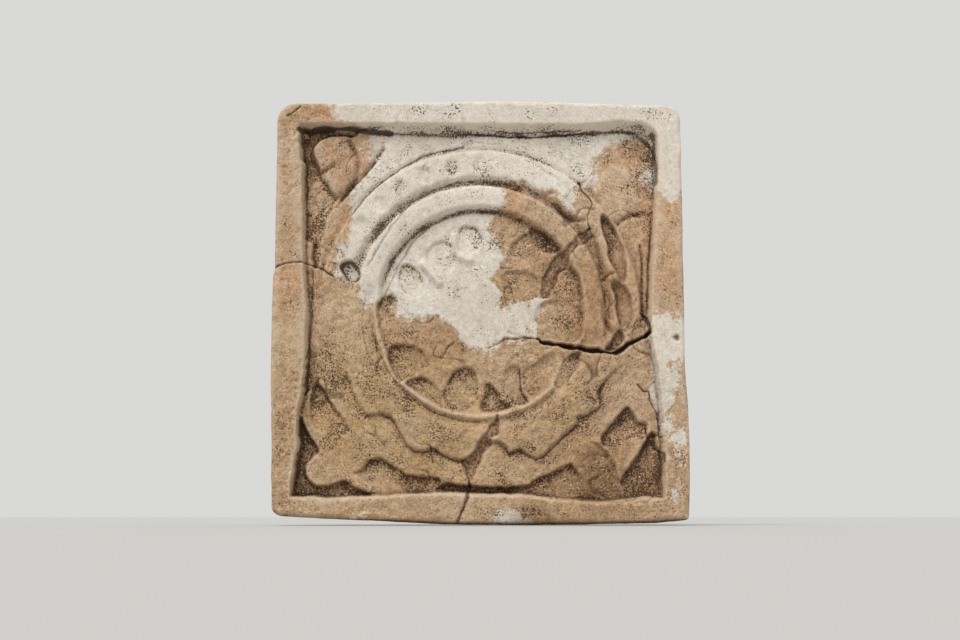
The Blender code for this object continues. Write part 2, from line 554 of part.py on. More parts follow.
def face_slab():
    """The carved face, thinned to the triangles that its shape needs, and closed with a flat back."""
    relief, heights = face_heights()
    rows, columns = heights.shape
    points = np.stack([relief.tile_u * SHARE, -heights, relief.tile_v * SHARE], axis=-1).reshape(-1, 3)
    number = np.arange(rows * columns).reshape(rows, columns)
    corners = (number[:-1, :-1], number[:-1, 1:], number[1:, 1:], number[1:, :-1])
    quads = np.stack(corners, axis=-1).reshape(-1, 4)
    mesh = bpy.data.meshes.new("face")
    mesh.from_pydata(points.tolist(), [], quads.tolist())
    face = new_object("face", mesh)
    thinned = face.modifiers.new("thinned", "DECIMATE")
    thinned.ratio = RELIEF_TRIANGLES / (2 * len(quads))
    thinned.use_collapse_triangulate = True
    graph = bpy.context.evaluated_depsgraph_get()
    slab = bmesh.new()
    slab.from_object(face, graph)
    bpy.data.objects.remove(face)
    rim = [edge for edge in slab.edges if edge.is_boundary]
    walls = bmesh.ops.extrude_edge_only(slab, edges=rim)
    for vertex in walls["geom"]:
        if isinstance(vertex, bmesh.types.BMVert):
            vertex.co.y = 0
    bmesh.ops.holes_fill(slab, edges=[edge for edge in slab.edges if edge.is_boundary], sides=0)
    bmesh.ops.recalc_face_normals(slab, faces=slab.faces)
    mesh = bpy.data.meshes.new("slab")
    slab.to_mesh(mesh)
    slab.free()
    return as_helper(new_object("slab", mesh))


def collar_stump():
    """The stump of the collar that once keyed the tile into the stove: broken off raggedly all round."""
    outer = outline_of(COLLAR_INSET, COLLAR_STEPS)
    inner = outline_of(COLLAR_INSET + COLLAR_WALL, COLLAR_STEPS)
    stump = bmesh.new()
    loops = [[], [], [], []]
    least, extra, turn = CHIP_FALL
    for k, (out, within) in enumerate(zip(outer, inner)):
        chips = sum(height * math.sin(k * step + start) for step, start, height in CHIP_WAVES)
        top = COLLAR_STUMP + COLLAR_CHIPS * chips
        fallen = top - COLLAR_CHIPS * (least + extra * math.sin(k * turn))
        sides = ((out, -COLLAR_ROOT), (out, fallen), (within, top), (within, -COLLAR_ROOT))
        for loop, ((u, v), depth) in zip(loops, sides):
            loop.append(stump.verts.new(on_tile(u, v, depth)))
    count = len(outer)
    for loop, following in zip(loops, [*loops[1:], loops[0]]):
        for k in range(count):
            after = (k + 1) % count
            stump.faces.new((loop[k], loop[after], following[after], following[k]))
    bmesh.ops.recalc_face_normals(stump, faces=stump.faces)
    mesh = bpy.data.meshes.new("collar")
    stump.to_mesh(mesh)
    stump.free()
    return as_helper(new_object("collar", mesh))


def with_boolean(made, name, operation, other):
    step = made.modifiers.new(name, "BOOLEAN")
    step.operation = operation
    step.solver = "EXACT"
    step.object = other
    return step


def whole_tile():
    """The tile before it broke: the face cut to its outline, on its collar's stump."""
    slab = face_slab()
    thick = PLATE_THICKNESS + RIM_RISE
    outline = prism("outline", outline_of(0, OUTLINE_STEPS), -2 * thick, thick)
    with_boolean(slab, "cut to outline", "INTERSECT", outline)
    with_boolean(slab, "collar", "UNION", collar_stump())
    graph = bpy.context.evaluated_depsgraph_get()
    return bpy.data.meshes.new_from_object(slab.evaluated_get(graph))


def spread(u, v):
    """A drawn place as it really lies on the tile."""
    return (u * SPREAD, ((v - SPREAD_FOOT) * SPREAD + SPREAD_FOOT) * TALL)


def opened(points, side):
    """One side of the open crack, which gapes in its middle and closes at its ends."""
    shares = np.linspace(0, math.pi, len(points))
    half = side * OPEN_CRACK / 2 / SHARE
    return [(u, v + half * math.sin(share)) for (u, v), share in zip(points, shares)]


def piece_outline(name):
    """The break lines round a piece, run end to end, with the outline drawn in by half a joint gap."""
    corners = []
    for part in PIECES[name]:
        if not isinstance(part, str):
            corners.append(part)
            continue
        run = list(BREAKS[part.lstrip("-")])
        if part == "open crack":
            run = opened(run, CRACK_SIDE[name])
        corners.extend(reversed(run) if part.startswith("-") else run)
    places = []
    for corner in corners:
        if not places or math.dist(corner, places[-1]) > SAME_CORNER:
            places.append(corner)
    if math.dist(places[0], places[-1]) < SAME_CORNER:
        places.pop()
    return drawn_in([spread(u, v) for u, v in places], JOINT_GAP / 2 / SHARE)


def drawn_in(places, inset):
    """An outline moved inwards by inset, with the reach of its sharpest corners limited."""
    points = np.array(places)
    before = points - np.roll(points, 1, axis=0)
    after = np.roll(before, -1, axis=0)
    turning = np.sum(points[:, 0] * np.roll(points[:, 1], -1) - np.roll(points[:, 0], -1) * points[:, 1])
    way = math.copysign(1, turning)
    normals = []
    for run in (before, after):
        across = np.stack([-run[:, 1], run[:, 0]], axis=1) * way
        normals.append(across / np.linalg.norm(across, axis=1, keepdims=True))
    middle = normals[0] + normals[1]
    reach = np.minimum(2 / np.sum(middle * middle, axis=1), LONGEST_MITRE)
    return points + middle * (reach * inset)[:, None]


def surface(name, colour, roughness):
    material = bpy.data.materials.new(name)
    material.use_nodes = True
    shader = material.node_tree.nodes["Principled BSDF"]
    shader.inputs["Base Color"].default_value = (*colour, 1)
    shader.inputs["Roughness"].default_value = roughness
    return material


def make_piece(name, tile):
    """One sherd or fill: the whole tile, kept only inside the piece's own outline."""
    piece = new_object(name, tile.copy())
    thick = PLATE_THICKNESS + RIM_RISE
    bounds = prism(name + "_bounds", piece_outline(name), -2 * thick, thick)
    with_boolean(piece, "kept inside its breaks", "INTERSECT", bounds)
    kind = GLUE if "glue" in name else PLASTER if "plaster" in name else CLAY
    piece.data.materials.clear()
    piece.data.materials.append(surface(name, *kind))


def main():
    for leftover in list(bpy.data.objects):
        bpy.data.objects.remove(leftover)
    tile = whole_tile()
    for name in PIECES:
        make_piece(name, tile)


main()
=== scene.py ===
"""A nearly square late Gothic stove tile, as its sherds, plaster fills and glue look today.

Sizes are in millimetres and are turned into metres where a mesh is made. The carved face looks
towards -Y, and the flat back is the plane y = 0.
"""

import math

import bpy
import numpy as np
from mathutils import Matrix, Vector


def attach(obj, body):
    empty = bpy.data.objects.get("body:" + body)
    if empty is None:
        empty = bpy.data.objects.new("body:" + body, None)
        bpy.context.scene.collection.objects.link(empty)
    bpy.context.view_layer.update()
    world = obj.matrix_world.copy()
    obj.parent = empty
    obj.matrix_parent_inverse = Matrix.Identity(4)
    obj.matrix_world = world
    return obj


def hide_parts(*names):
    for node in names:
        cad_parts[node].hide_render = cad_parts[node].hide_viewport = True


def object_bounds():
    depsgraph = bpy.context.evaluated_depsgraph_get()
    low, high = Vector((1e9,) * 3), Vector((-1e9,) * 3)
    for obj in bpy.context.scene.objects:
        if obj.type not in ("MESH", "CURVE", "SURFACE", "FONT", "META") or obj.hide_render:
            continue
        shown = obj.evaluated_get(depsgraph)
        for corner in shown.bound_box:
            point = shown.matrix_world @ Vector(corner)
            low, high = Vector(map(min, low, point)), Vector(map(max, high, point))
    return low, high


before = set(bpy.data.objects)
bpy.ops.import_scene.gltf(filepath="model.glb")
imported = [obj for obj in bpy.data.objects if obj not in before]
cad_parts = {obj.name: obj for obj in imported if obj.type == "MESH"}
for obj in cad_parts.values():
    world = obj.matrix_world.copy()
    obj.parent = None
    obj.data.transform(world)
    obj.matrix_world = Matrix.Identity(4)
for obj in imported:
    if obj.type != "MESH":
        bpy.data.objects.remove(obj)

cad_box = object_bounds()
bpy.ops.object.select_all(action="DESELECT")

# The pressed face. Soft clay was pushed into a carved wooden mould, so the rim, the rose and the
# tracery of the corners are one sheet of relief. It is drawn on a square 200 wide, u to the right and
# v up, and then laid on the tile, which is a little taller than it is wide.
HALF = 100
TALL = 1.018
PLATE = 9.0
RIM_WIDTH = 12.5
RIM_RISE = 11.0
RIM_ROUND = 2.5
RECESS_WALL = 1.1
TOP_WALL = 3.8
CARVING_RISE = 4.5
CORNER_RADII = (5, 1.5, 9, 7)
RECESS_RADII = (1, 1, 1.5, 10)
# Drawn as seen from the front and low down, the sunk carving is really this much larger
SPREAD = 1.009
SPREAD_FOOT = -95
# Distance between the points of the sheet, and how far it reaches past the tile's middle
STEP = 0.45
ACROSS = np.arange(-103.5, 103.6, STEP)
UPWARD = np.arange(-105.3, 105.4, STEP)
tile_u, tile_v = np.meshgrid(ACROSS, UPWARD)
u = tile_u / SPREAD
v = (tile_v / TALL - SPREAD_FOOT) / SPREAD + SPREAD_FOOT
level = np.ones_like(u)

# Each side of the tile and of its recess wanders: (place along the side, how far out it lies)
EDGE_WANDER = (
    ((-95, -0.2), (-62, 0.2), (-30, 1.2), (0, 1.2), (15, 0.8), (19, 0), (92, -0.2)),
    ((-98, 0.9), (-80, 1.4), (-60, 1.4), (-43, 1), (-30, -0.1), (50, -0.3), (92, -0.5)),
    (
        (-95, -1.4), (-74, -0.2), (-51, 0.8), (-18, 2.5), (20, 2.8), (46, 2.6), (70, 2.2), (86, 1.8),
        (99, 0.6),
    ),
    ((-90, 0), (-40, 0.8), (12, 2), (40, 1.4), (66, 0.7), (93, -0.1)),
)
RECESS_WANDER = (
    (
        (-90, 3.1), (-84, 2.8), (-77, 1.6), (-74, 1.8), (-69, 0.3), (-64, -0.7), (-60, 0.3), (-48, -0.1),
        (-40, -2.1), (-30, -2.9), (0, -3.4), (21, -1.8), (50, -1.1), (61, -0.6), (71, -0.9), (72.5, 0.6),
        (78, 0.6), (81, 1.4), (89, 1.1),
    ),
    ((-90, 1), (-73, 1.7), (-50, 0.7), (-26, -1.3), (-9, -5.3), (0, -4.3), (31, -2.6), (58, -0.6), (76, 0.4)),
    ((-90, 1.7), (-71, 2.4), (-47, 1.7), (-20, 0), (20, 1), (46, 4.1), (60, 4.5), (80, 2), (88, 2.5)),
    ((-88, 2.5), (-40, 2.3), (50, 2.3), (69, 4.2), (80, 3.5)),
)


def eased(share):
    share = np.clip(share, 0, 1)
    return share * share * (3 - 2 * share)


def curve_through(points, closed=True, steps=4):
    """A smooth curve through the points, as places along it."""
    points = np.array(points, float)
    count = len(points)
    curve = []
    for i in range(count if closed else count - 1):
        ends = [i - 1, i, i + 1, i + 2]
        ends = [k % count for k in ends] if closed else [min(max(k, 0), count - 1) for k in ends]
        before, start, end, after = points[ends]
        for t in np.arange(steps) / steps:
            bend = (2 * before - 5 * start + 4 * end - after) * t**2
            bend = bend + (3 * start - before - 3 * end + after) * t**3
            curve.append(start + 0.5 * ((end - before) * t + bend))
    return np.array(curve if closed else [*curve, points[-1]])


def around(curve, reach, sheet_u, sheet_v):
    """The part of the sheet that lies within reach of a curve."""
    low = curve.min(axis=0) - reach
    high = curve.max(axis=0) + reach
    columns = np.flatnonzero((sheet_u[0] >= low[0]) & (sheet_u[0] <= high[0]))
    rows = np.flatnonzero((sheet_v[:, 0] >= low[1]) & (sheet_v[:, 0] <= high[1]))
    return slice(rows[0], rows[-1] + 1), slice(columns[0], columns[-1] + 1)


def distance(curve, at_u, at_v, closed=True):
    """Distance to a curve; for a closed one it is positive inside and negative outside."""
    near = np.full(at_u.shape, np.inf)
    within = np.zeros(at_u.shape, bool)
    ends = np.roll(curve, -1, axis=0) if closed else curve[1:]
    for (start_u, start_v), (end_u, end_v) in zip(curve, ends):
        run_u = end_u - start_u
        run_v = end_v - start_v
        length = max(run_u * run_u + run_v * run_v, 1e-12)
        along = np.clip(((at_u - start_u) * run_u + (at_v - start_v) * run_v) / length, 0, 1)
        near = np.minimum(near, np.hypot(at_u - start_u - along * run_u, at_v - start_v - along * run_v))
        if closed and start_v != end_v:
            within ^= ((start_v > at_v) != (end_v > at_v)) & (
                at_u < start_u + (at_v - start_v) * run_u / run_v
            )
    return np.where(within, near, -near) if closed else near


# All unevenness is read from square tables of random draws, well away from their corner
DRAWS = 64
OFF_CORNER = 500


def mottle(a, b, size, seed, octaves=3):
    """Smooth random unevenness from -1 to 1, with spots about size across, then half as large, and so on."""
    dice = np.random.default_rng(seed)
    total = np.zeros_like(a)
    for octave in range(octaves):
        table = dice.uniform(-1, 1, (DRAWS, DRAWS))
        x = a / size * 2**octave + OFF_CORNER
        y = b / size * 2**octave + OFF_CORNER
        column = np.floor(x).astype(int)
        row = np.floor(y).astype(int)
        right = eased(x - column)
        up = eased(y - row)
        column %= DRAWS
        row %= DRAWS
        column_after = (column + 1) % DRAWS
        row_after = (row + 1) % DRAWS
        low = table[row, column] * (1 - right) + table[row, column_after] * right
        high = table[row_after, column] * (1 - right) + table[row_after, column_after] * right
        total += (low * (1 - up) + high * up) / 2**octave
    return total / (2 - 0.5 ** (octaves - 1))


def pits(a, b, spacing, share, seed):
    """Round pits, 0 at the rim and 1 in the middle, one in a share of the squares of that spacing."""
    dice = np.random.default_rng(seed)
    table = dice.uniform(0, 1, (4, DRAWS, DRAWS))
    x = a / spacing + OFF_CORNER
    y = b / spacing + OFF_CORNER
    deep = np.zeros_like(a)
    for across in (-1, 0, 1):
        for up in (-1, 0, 1):
            column = np.floor(x).astype(int) + across
            row = np.floor(y).astype(int) + up
            shift_x, shift_y, size, chance = table[:, row % DRAWS, column % DRAWS]
            away = np.hypot(x - column - 0.2 - 0.6 * shift_x, y - row - 0.2 - 0.6 * shift_y)
            radius = 0.15 + 0.3 * size**2
            deep = np.maximum(deep, np.where(chance < share, 1 - (away / radius) ** 2, 0))
    return deep


def softened(sheet, reach, times=2):
    """The sheet blurred over reach, in millimetres."""
    size = max(1, round(reach / STEP / 2))
    for axis in (0, 1):
        for _ in range(times):
            wide = [(0, 0), (0, 0)]
            wide[axis] = (size + 1, size)
            total = np.cumsum(np.pad(sheet, wide, mode="edge"), axis=axis)
            high = np.take(total, range(2 * size + 1, total.shape[axis]), axis=axis)
            low = np.take(total, range(total.shape[axis] - 2 * size - 1), axis=axis)
            sheet = (high - low) / (2 * size + 1)
    return sheet


# The mould's arrises have crumbled: (how far they wander, over what length)
CRUMBLED = (0.5, 3)


def sink(outline, floor, fall=None, wall=0.9):
    """Sinks what lies inside an outline to a level, or to two at the start and end of fall."""
    curve = curve_through(outline)
    at = around(curve, wall, u, v)
    if fall is not None:
        start = np.array(fall[:2])
        way = np.array(fall[2:]) - start
        along = ((u[at] - start[0]) * way[0] + (v[at] - start[1]) * way[1]) / (way @ way)
        floor = floor[0] + (floor[1] - floor[0]) * np.clip(along, 0, 1)
    crumbled = CRUMBLED[0] * mottle(u[at], v[at], CRUMBLED[1], 5, 3)
    share = np.clip(1 + (distance(curve, u[at], v[at]) + crumbled) / wall, 0, 1)
    level[at] += (np.minimum(floor, level[at]) - level[at]) * share


def lift(outline, height, wall):
    """Raises what lies inside an outline, rounded over at its top."""
    curve = curve_through(outline)
    at = around(curve, 0, u, v)
    share = 1 - (1 - np.clip(distance(curve, u[at], v[at]) / wall, 0, 1)) ** 2
    level[at] += (np.maximum(height, level[at]) - level[at]) * share


def line(run, height, width):
    """A soft ridge, or with a negative height a groove, along an open run."""
    curve = curve_through(run, closed=False)
    at = around(curve, width, u, v)
    level[at] += height * (1 - eased(distance(curve, u[at], v[at], closed=False) / width))


# The rose's turned rings: (radius, share of the carving's rise), below and above a slanting line
ROSE_MIDDLE = -2
LOWER_PROFILE = (
    (0, 0.92), (46.8, 0.9), (48, 1), (49.2, 1.5), (50.5, 1.56), (51.7, 1.18), (52.8, 1.12), (56, 1.34),
    (61, 1.42), (66, 1.34), (76, 1.08), (84, 1),
)
UPPER_PROFILE = (
    (0, 0.92), (47.6, 0.86), (48.6, 0.7), (50.8, 1.62), (52, 1.75), (56.5, 1.8), (60.2, 1.7), (61.3, 1.08),
    (62.8, 1.04), (65.6, 1.66), (67, 1.72), (77.5, 1.44), (78.9, 0.92), (81, 1.08), (88, 1),
)
radius = np.hypot(u, v - ROSE_MIDDLE)
lower = np.interp(radius, *zip(*LOWER_PROFILE))
upper = np.interp(radius, *zip(*UPPER_PROFILE))
is_upper = eased((v - np.interp(u, (-60, -40, 30, 50, 80), (4, 0, -14, -19, -16))) / 14)
level = lower + (upper - lower) * is_upper
# The scalloped lower edge of the rose's moulding, and the level of the ground just below it
MOULDING_FOOT = 0.74
SCALLOPS = (
    (-66, -22), (-62, -38), (-56, -49), (-51.5, -51), (-47, -50.2), (-42, -52.7), (-40, -57), (-37.7, -60),
    (-35.5, -64.5), (-32.3, -67.6), (-27, -68), (-22, -66.8), (-18, -69.5), (-11.5, -72.2), (-6, -71.5),
    (-1.5, -68.3), (0.2, -63.8), (8, -63.6), (12.5, -66), (14, -69), (19.2, -67.3), (22.5, -69.6),
    (26.5, -71.2), (30.5, -70.2), (35, -65.6), (40, -61), (44, -57.7), (47, -55), (47.7, -52.2),
    (53, -50.4), (58.4, -46.4), (57, -41), (60.3, -35), (68, -27), (76, -16), (76, 10), (64, 30),
    (0, 60), (-64, 30), (-72, 0),
)
inside = distance(curve_through(SCALLOPS), u, v)
ragged_edge = inside + CRUMBLED[0] * mottle(u, v, CRUMBLED[1], 6, 3)
roundness = 1 - (1 - np.clip(ragged_edge / 1.4, 0, 1)) ** 2
moulding = MOULDING_FOOT + (level - MOULDING_FOOT) * roundness
beyond = np.minimum(level, MOULDING_FOOT + (1 - MOULDING_FOOT) * np.clip(-inside / 13, 0, 1))
level += (np.where(ragged_edge > 0, moulding, beyond) - level) * eased((-v - 24) / 14)
# Small shallow cells that follow one another round the upper band, from its top to the left
CELL_TURNS = 90 + 10.8 * np.arange(6)
CELL_RING = 70.5
CELL_DEPTH = 0.24
CELL_REACH = (4.4, 3.3)
for angle in np.radians(CELL_TURNS):
    from_u = u - CELL_RING * math.cos(angle)
    from_v = v - ROSE_MIDDLE - CELL_RING * math.sin(angle)
    outward = from_u * math.cos(angle) + from_v * math.sin(angle)
    sideways = from_v * math.cos(angle) - from_u * math.sin(angle)
    level -= CELL_DEPTH * np.exp(-(np.hypot(outward / CELL_REACH[0], sideways / CELL_REACH[1]) ** 5))

# The cells of the rose, sunk with the mould's small gouge, from the left round the foot to the right
sink(((-49.5, 0), (-47, 4), (-43.5, 6), (-40.5, 4.5), (-40, 0), (-41, -4), (-45, -8), (-48, -7)),
     (0.55, 0.8), (-44, 4, -45, -7))
sink(((-44, -21.5), (-41, -18.5), (-36, -17.8), (-30.5, -19), (-27, -22.5), (-25, -27), (-29, -30.5),
      (-35, -33.5), (-38.5, -34.5), (-42, -29)), (0.4, 0.75), (-36, -19, -33, -34))
sink(((-35, -36), (-31, -34), (-27.5, -33.5), (-23, -36), (-20, -40), (-19, -45), (-24, -43), (-30, -39.5)),
     (0.4, 0.6), (-27, -34, -23, -43))
sink(((-17.5, -43), (-14.5, -35), (-11, -30), (-7, -28.6), (-3.5, -29.5), (-1.5, -33), (-1, -40),
      (-2.5, -46.5), (-8, -48), (-14, -47)), (0.35, 0.65), (-8, -29, -8, -48))
sink(((3, -36.5), (5.5, -37), (9, -41), (10, -44), (14.5, -46.7), (8, -49), (1.5, -48.5), (1.5, -45),
      (3, -42)), 0.45)
sink(((12, -31), (16, -28), (19.3, -29), (19.7, -37), (22.8, -44), (20, -46), (15, -44.5), (11.5, -38)),
     (0.5, 0.75), (19.5, -34, 12, -36))
sink(((21, -31), (27, -27), (34, -22), (37, -24), (36, -31), (31, -38), (26, -42), (21.5, -38)),
     (0.55, 0.75), (25, -29, 33, -36))
sink(((42, -24), (48, -21.5), (47, -27), (43, -33), (38.5, -38), (36.5, -36), (39, -30)), (0.6, 0.8),
     (46, -23, 39, -37))
sink(((27.5, -2), (31, 2.5), (38, 3.5), (44, 2), (49, -1), (49.5, -8), (48, -14.5), (40, -15.5), (31, -14),
      (27.3, -9)), (0.62, 0.85), (38, 3, 38, -14))
sink(((37.5, 17), (42, 19.5), (46.5, 17), (49, 10), (49, 3.5), (44, 2.5), (38, 4.5), (35.5, 10)),
     (0.5, 0.7), (42, 18, 42, 3))
sink(((12, 16), (18, 17.5), (26, 16), (28.5, 12), (27, 8), (20, 7), (13, 8)), (0.6, 0.75), (20, 17, 20, 8))
sink(((14, 22), (15.5, 29), (20, 34), (25, 36.5), (28, 33), (30, 27), (27, 22.5), (20, 20.5)),
     (0.45, 0.75), (22, 34, 21, 21))
sink(((25, 38.5), (30, 37), (36, 32), (39, 28.5), (35, 27), (30, 28), (27, 31)), (0.3, 0.45),
     (32, 35, 30, 29))
sink(((-9.5, 38), (-6, 39.5), (-1, 37.5), (1.5, 33), (-1, 28.5), (-5, 27.5), (-9, 32)), (0.55, 0.75),
     (-5, 38, -4, 28))
sink(((-25.7, 24.4), (-23.6, 29.8), (-18.5, 32), (-13.4, 29.8), (-11.3, 24.4), (-13.4, 19), (-18.5, 16.8),
      (-23.6, 19)), (0.62, 0.8), (-18, 31, -18, 17))
sink(((-38, 19), (-35, 20.5), (-31, 18.5), (-27.5, 13), (-27, 8), (-30, 5.5), (-35, 7), (-38.5, 12)),
     (0.5, 0.7), (-34, 18, -30, 6))
RIB_REACH = 2.6
line(((-27.5, 21), (-24, 17), (-19.5, 12)), 0.42, RIB_REACH)
line(((-12.5, 34.5), (-11, 26), (-4.5, 23)), 0.36, RIB_REACH)
line(((-48, -23), (-38, -36), (-26, -45)), 0.12, 1.4)

# The upper left corner: a deep ground round a leaf of two lobes, and a block against the rim
sink(((-93, 93), (-38, 93), (-42, 87.6), (-57, 86.8), (-60, 85.4), (-62.5, 84), (-64.5, 84.2), (-67, 84.5),
      (-72, 84.3), (-77.5, 82.8), (-80.5, 80), (-82, 76.5), (-81.2, 73), (-79, 68.5), (-78.3, 66),
      (-77.5, 62), (-75, 60), (-72.5, 56), (-69.8, 53.3), (-72.5, 48), (-76, 40), (-77, 33), (-80, 31.2),
      (-85, 33), (-93, 36)), (-0.1, 0.72), (-84, 76, -76, 42), wall=1.1)
lift(((-71, 85.8), (-67.5, 88), (-63, 88), (-60, 86), (-63, 84.8), (-67, 85)), 0.55, wall=1.5)
lift(((-85.8, 41), (-86.2, 49), (-84.3, 56), (-80.5, 62), (-77, 62), (-74.5, 58), (-75, 50), (-78, 40),
      (-82, 36)), 0.62, wall=2.5)
lift(((-81.4, 79.5), (-78.3, 82.2), (-72.7, 83.4), (-67.7, 83.2), (-64.5, 80.1), (-62, 75.2), (-63.5, 68),
      (-70, 65), (-77.5, 65.5), (-80.2, 67.9), (-82, 72.2), (-82, 77)), 1.4, wall=7)
lift(((-63, 73), (-60.2, 68.5), (-60.8, 63.6), (-63.3, 58.7), (-67, 54.4), (-70.2, 52.8), (-72.7, 54.4),
      (-74.8, 58.1), (-76.4, 63.6), (-72, 70)), 1.3, wall=6)
line(((-64, 81.5), (-61.3, 76), (-59.4, 69), (-60.2, 63), (-63.3, 58)), -0.4, 2)
line(((-80.5, 65.5), (-77.5, 65.3), (-74, 67), (-71, 69)), -0.3, 1.6)
lift(((-88, 32), (-85, 32.5), (-81, 31), (-80.6, 24), (-81, 18), (-88, 18)), 1.25, wall=1.5)
sink(((-80.3, 30), (-78.6, 30.5), (-77.5, 26), (-78.4, 20.5), (-80.2, 20)), (0.35, 0.8), (-80, 25, -77.5, 25))
line(((-69.5, 49), (-66, 54), (-61, 60), (-53.5, 68), (-47, 77)), -0.28, 1.8)
sink(((-67, 20), (-62, 21.5), (-58, 17), (-59, 13), (-64, 13.5)), 0.75)

# The lower left corner: three openings in the tracery, and the slot above the bottom rim
line(((-80.9, 19), (-80.8, 8), (-81, -6), (-82, -16), (-83.5, -25)), -0.16, 0.9)
sink(((-85.5, -23), (-81.5, -21), (-78, -27), (-77.5, -34), (-80, -38.3), (-85, -38)), (0.3, 0.95),
     (-85, -30, -77, -29))
sink(((-83.8, -38.8), (-86.3, -44), (-86.3, -52), (-84, -57.5), (-81.5, -61.5), (-77.3, -67.8), (-80, -70),
      (-83.2, -73.5), (-84, -78), (-82, -82), (-78.5, -84.2), (-74, -85), (-69.5, -84), (-66.5, -82.8),
      (-63.5, -82.6), (-60, -85), (-54, -88), (-46, -90), (-46, -96), (-96, -96), (-96, -38.8)),
     (-0.1, 0.3), (-86, -70, -55, -90))
sink(((-79.5, -37.2), (-77.2, -37.6), (-70, -48), (-63, -57.5), (-66, -59.8), (-73, -58.8), (-79, -56),
      (-80.8, -47)), (0.1, 0.9), (-73, -44, -79, -60))
sink(((-60, -78.4), (-56.5, -77.3), (-53.5, -74), (-50.5, -72), (-47, -71.8), (-42, -74.8), (-35.5, -78.8),
      (-35, -82), (-44, -86), (-52, -84), (-57, -80)), (0.2, 0.92), (-47, -73, -49, -84))
sink(((-37, -79.5), (-28, -80.5), (-20.5, -80.5), (-18.5, -83), (-19.5, -87), (-28, -88), (-36, -86)),
     (0.35, 0.6), (-28, -81, -28, -88))
sink(((-17.8, -84), (-10, -84.4), (0, -85.2), (13, -86), (13, -91), (-18.8, -91)), -0.1, wall=1)

# The lower right corner: two lozenge openings with a bar between them
sink(((13, -86), (24, -84), (26, -82.3), (34, -78.8), (43, -74.3), (44.6, -74.8), (46.8, -78),
      (51.8, -83.4), (50, -87), (40, -89), (24, -91), (13, -91)), (0.15, 0.85), (40, -76.5, 44, -89))
sink(((50, -73), (57, -70), (62.5, -73), (66.5, -80), (68.5, -84), (72, -92), (52, -92), (52.5, -84)), 0.6,
     wall=5)
sink(((70, -48.6), (72.5, -49), (74.5, -52), (76.5, -54.7), (80, -55), (80, -60), (76, -66.5), (70, -75),
      (67.5, -77), (66, -71.5), (63, -67), (59, -62.3)), (0.1, 0.95), (66, -56, 75, -68))
sink(((82.5, -60), (84.4, -61.5), (84.8, -66), (87.5, -69.5), (92, -72), (92, -95), (72, -95), (70.5, -86),
      (68.3, -83), (69.5, -79.5), (76, -70.5)), (0.05, 0.5), (73, -77, 84, -86))
line(((54.4, -63), (59, -64.5), (63, -68.5), (66, -73.5), (67.3, -80), (69, -82)), 0.25, 1.5)
line(((54, -64), (58, -66), (62, -70.5)), -0.2, 1.5)

# The right side: grooves and cusps beside the ring, and a soft lobe above them
line(((55, 34), (58, 26), (59, 19), (58.3, 13), (60.3, 6), (60, 0), (60.5, -6), (64, -11.5)), -0.4, 2.0)
line(((60, 13.3), (63, 16), (65.8, 16.7)), -0.35, 1.3)
sink(((65, 11.5), (68.5, 12), (69, 8.5), (66, 8)), 0.7, wall=1.5)
sink(((60, 45), (60.5, 37), (63, 30), (63.5, 24), (66, 19), (70, 12), (70.8, 18), (70, 26), (68, 33),
      (66, 38)), (0.4, 0.85), (63, 32, 70, 30))
sink(((66.5, 8), (70, 11), (73, 4), (74, -4), (72, -10), (69, -10), (67, -3)), (0.65, 0.9), (67, 2, 74, 2))
sink(((61.5, -19.5), (64.5, -15.5), (67.5, -11), (69, -11), (69.5, -15), (67, -18.5), (64, -20)), 0.4)
line(((78.4, 30), (79.3, 22), (79, 12), (79, 0), (79.8, -5)), -0.35, 1.2)
lift(((57, 62), (56, 55), (59, 48), (63, 43), (67.5, 41), (72, 44.5), (78, 46.5), (80, 54), (77, 62),
      (73, 68), (66, 70), (60, 67)), 1.35, wall=5)
line(((67.5, 40.5), (72, 44), (80, 46)), -0.25, 1.6)
sink(((71, 80), (80, 82), (85, 72), (85, 57), (81, 55), (79, 64), (75, 71)), 0.72, wall=4)
line(((21, 61), (25, 56.5), (30, 54.2), (36, 55.5)), -0.3, 1.8)
line(((37, 50), (41, 45), (46, 42.5), (51, 42)), -0.35, 1.7)
line(((20, 72.8), (28, 69), (33, 65), (38.5, 61.6)), -0.16, 0.9)


def inside_sides(at_u, at_v, inset, wander, radii):
    """How far each place lies inside the tile's wandering sides, moved in by inset and rounded at corners."""
    left, right, bottom, top = (tuple(zip(*side)) for side in wander)
    half_width = HALF - inset
    half_height = HALF * TALL - inset
    from_left = at_u + half_width + np.interp(at_v / TALL, *left)
    from_right = half_width + np.interp(at_v / TALL, *right) - at_u
    from_bottom = at_v + half_height + np.interp(at_u, *bottom)
    from_top = half_height + np.interp(at_u, *top) - at_v
    depth = np.minimum(np.minimum(from_left, from_right), np.minimum(from_bottom, from_top))
    corners = ((from_left, from_bottom), (from_right, from_bottom), (from_left, from_top),
               (from_right, from_top))
    for (a, b), radius in zip(corners, radii):
        rounded = radius - np.hypot(radius - a, radius - b)
        depth = np.where((a < radius) & (b < radius), rounded, depth)
    return depth


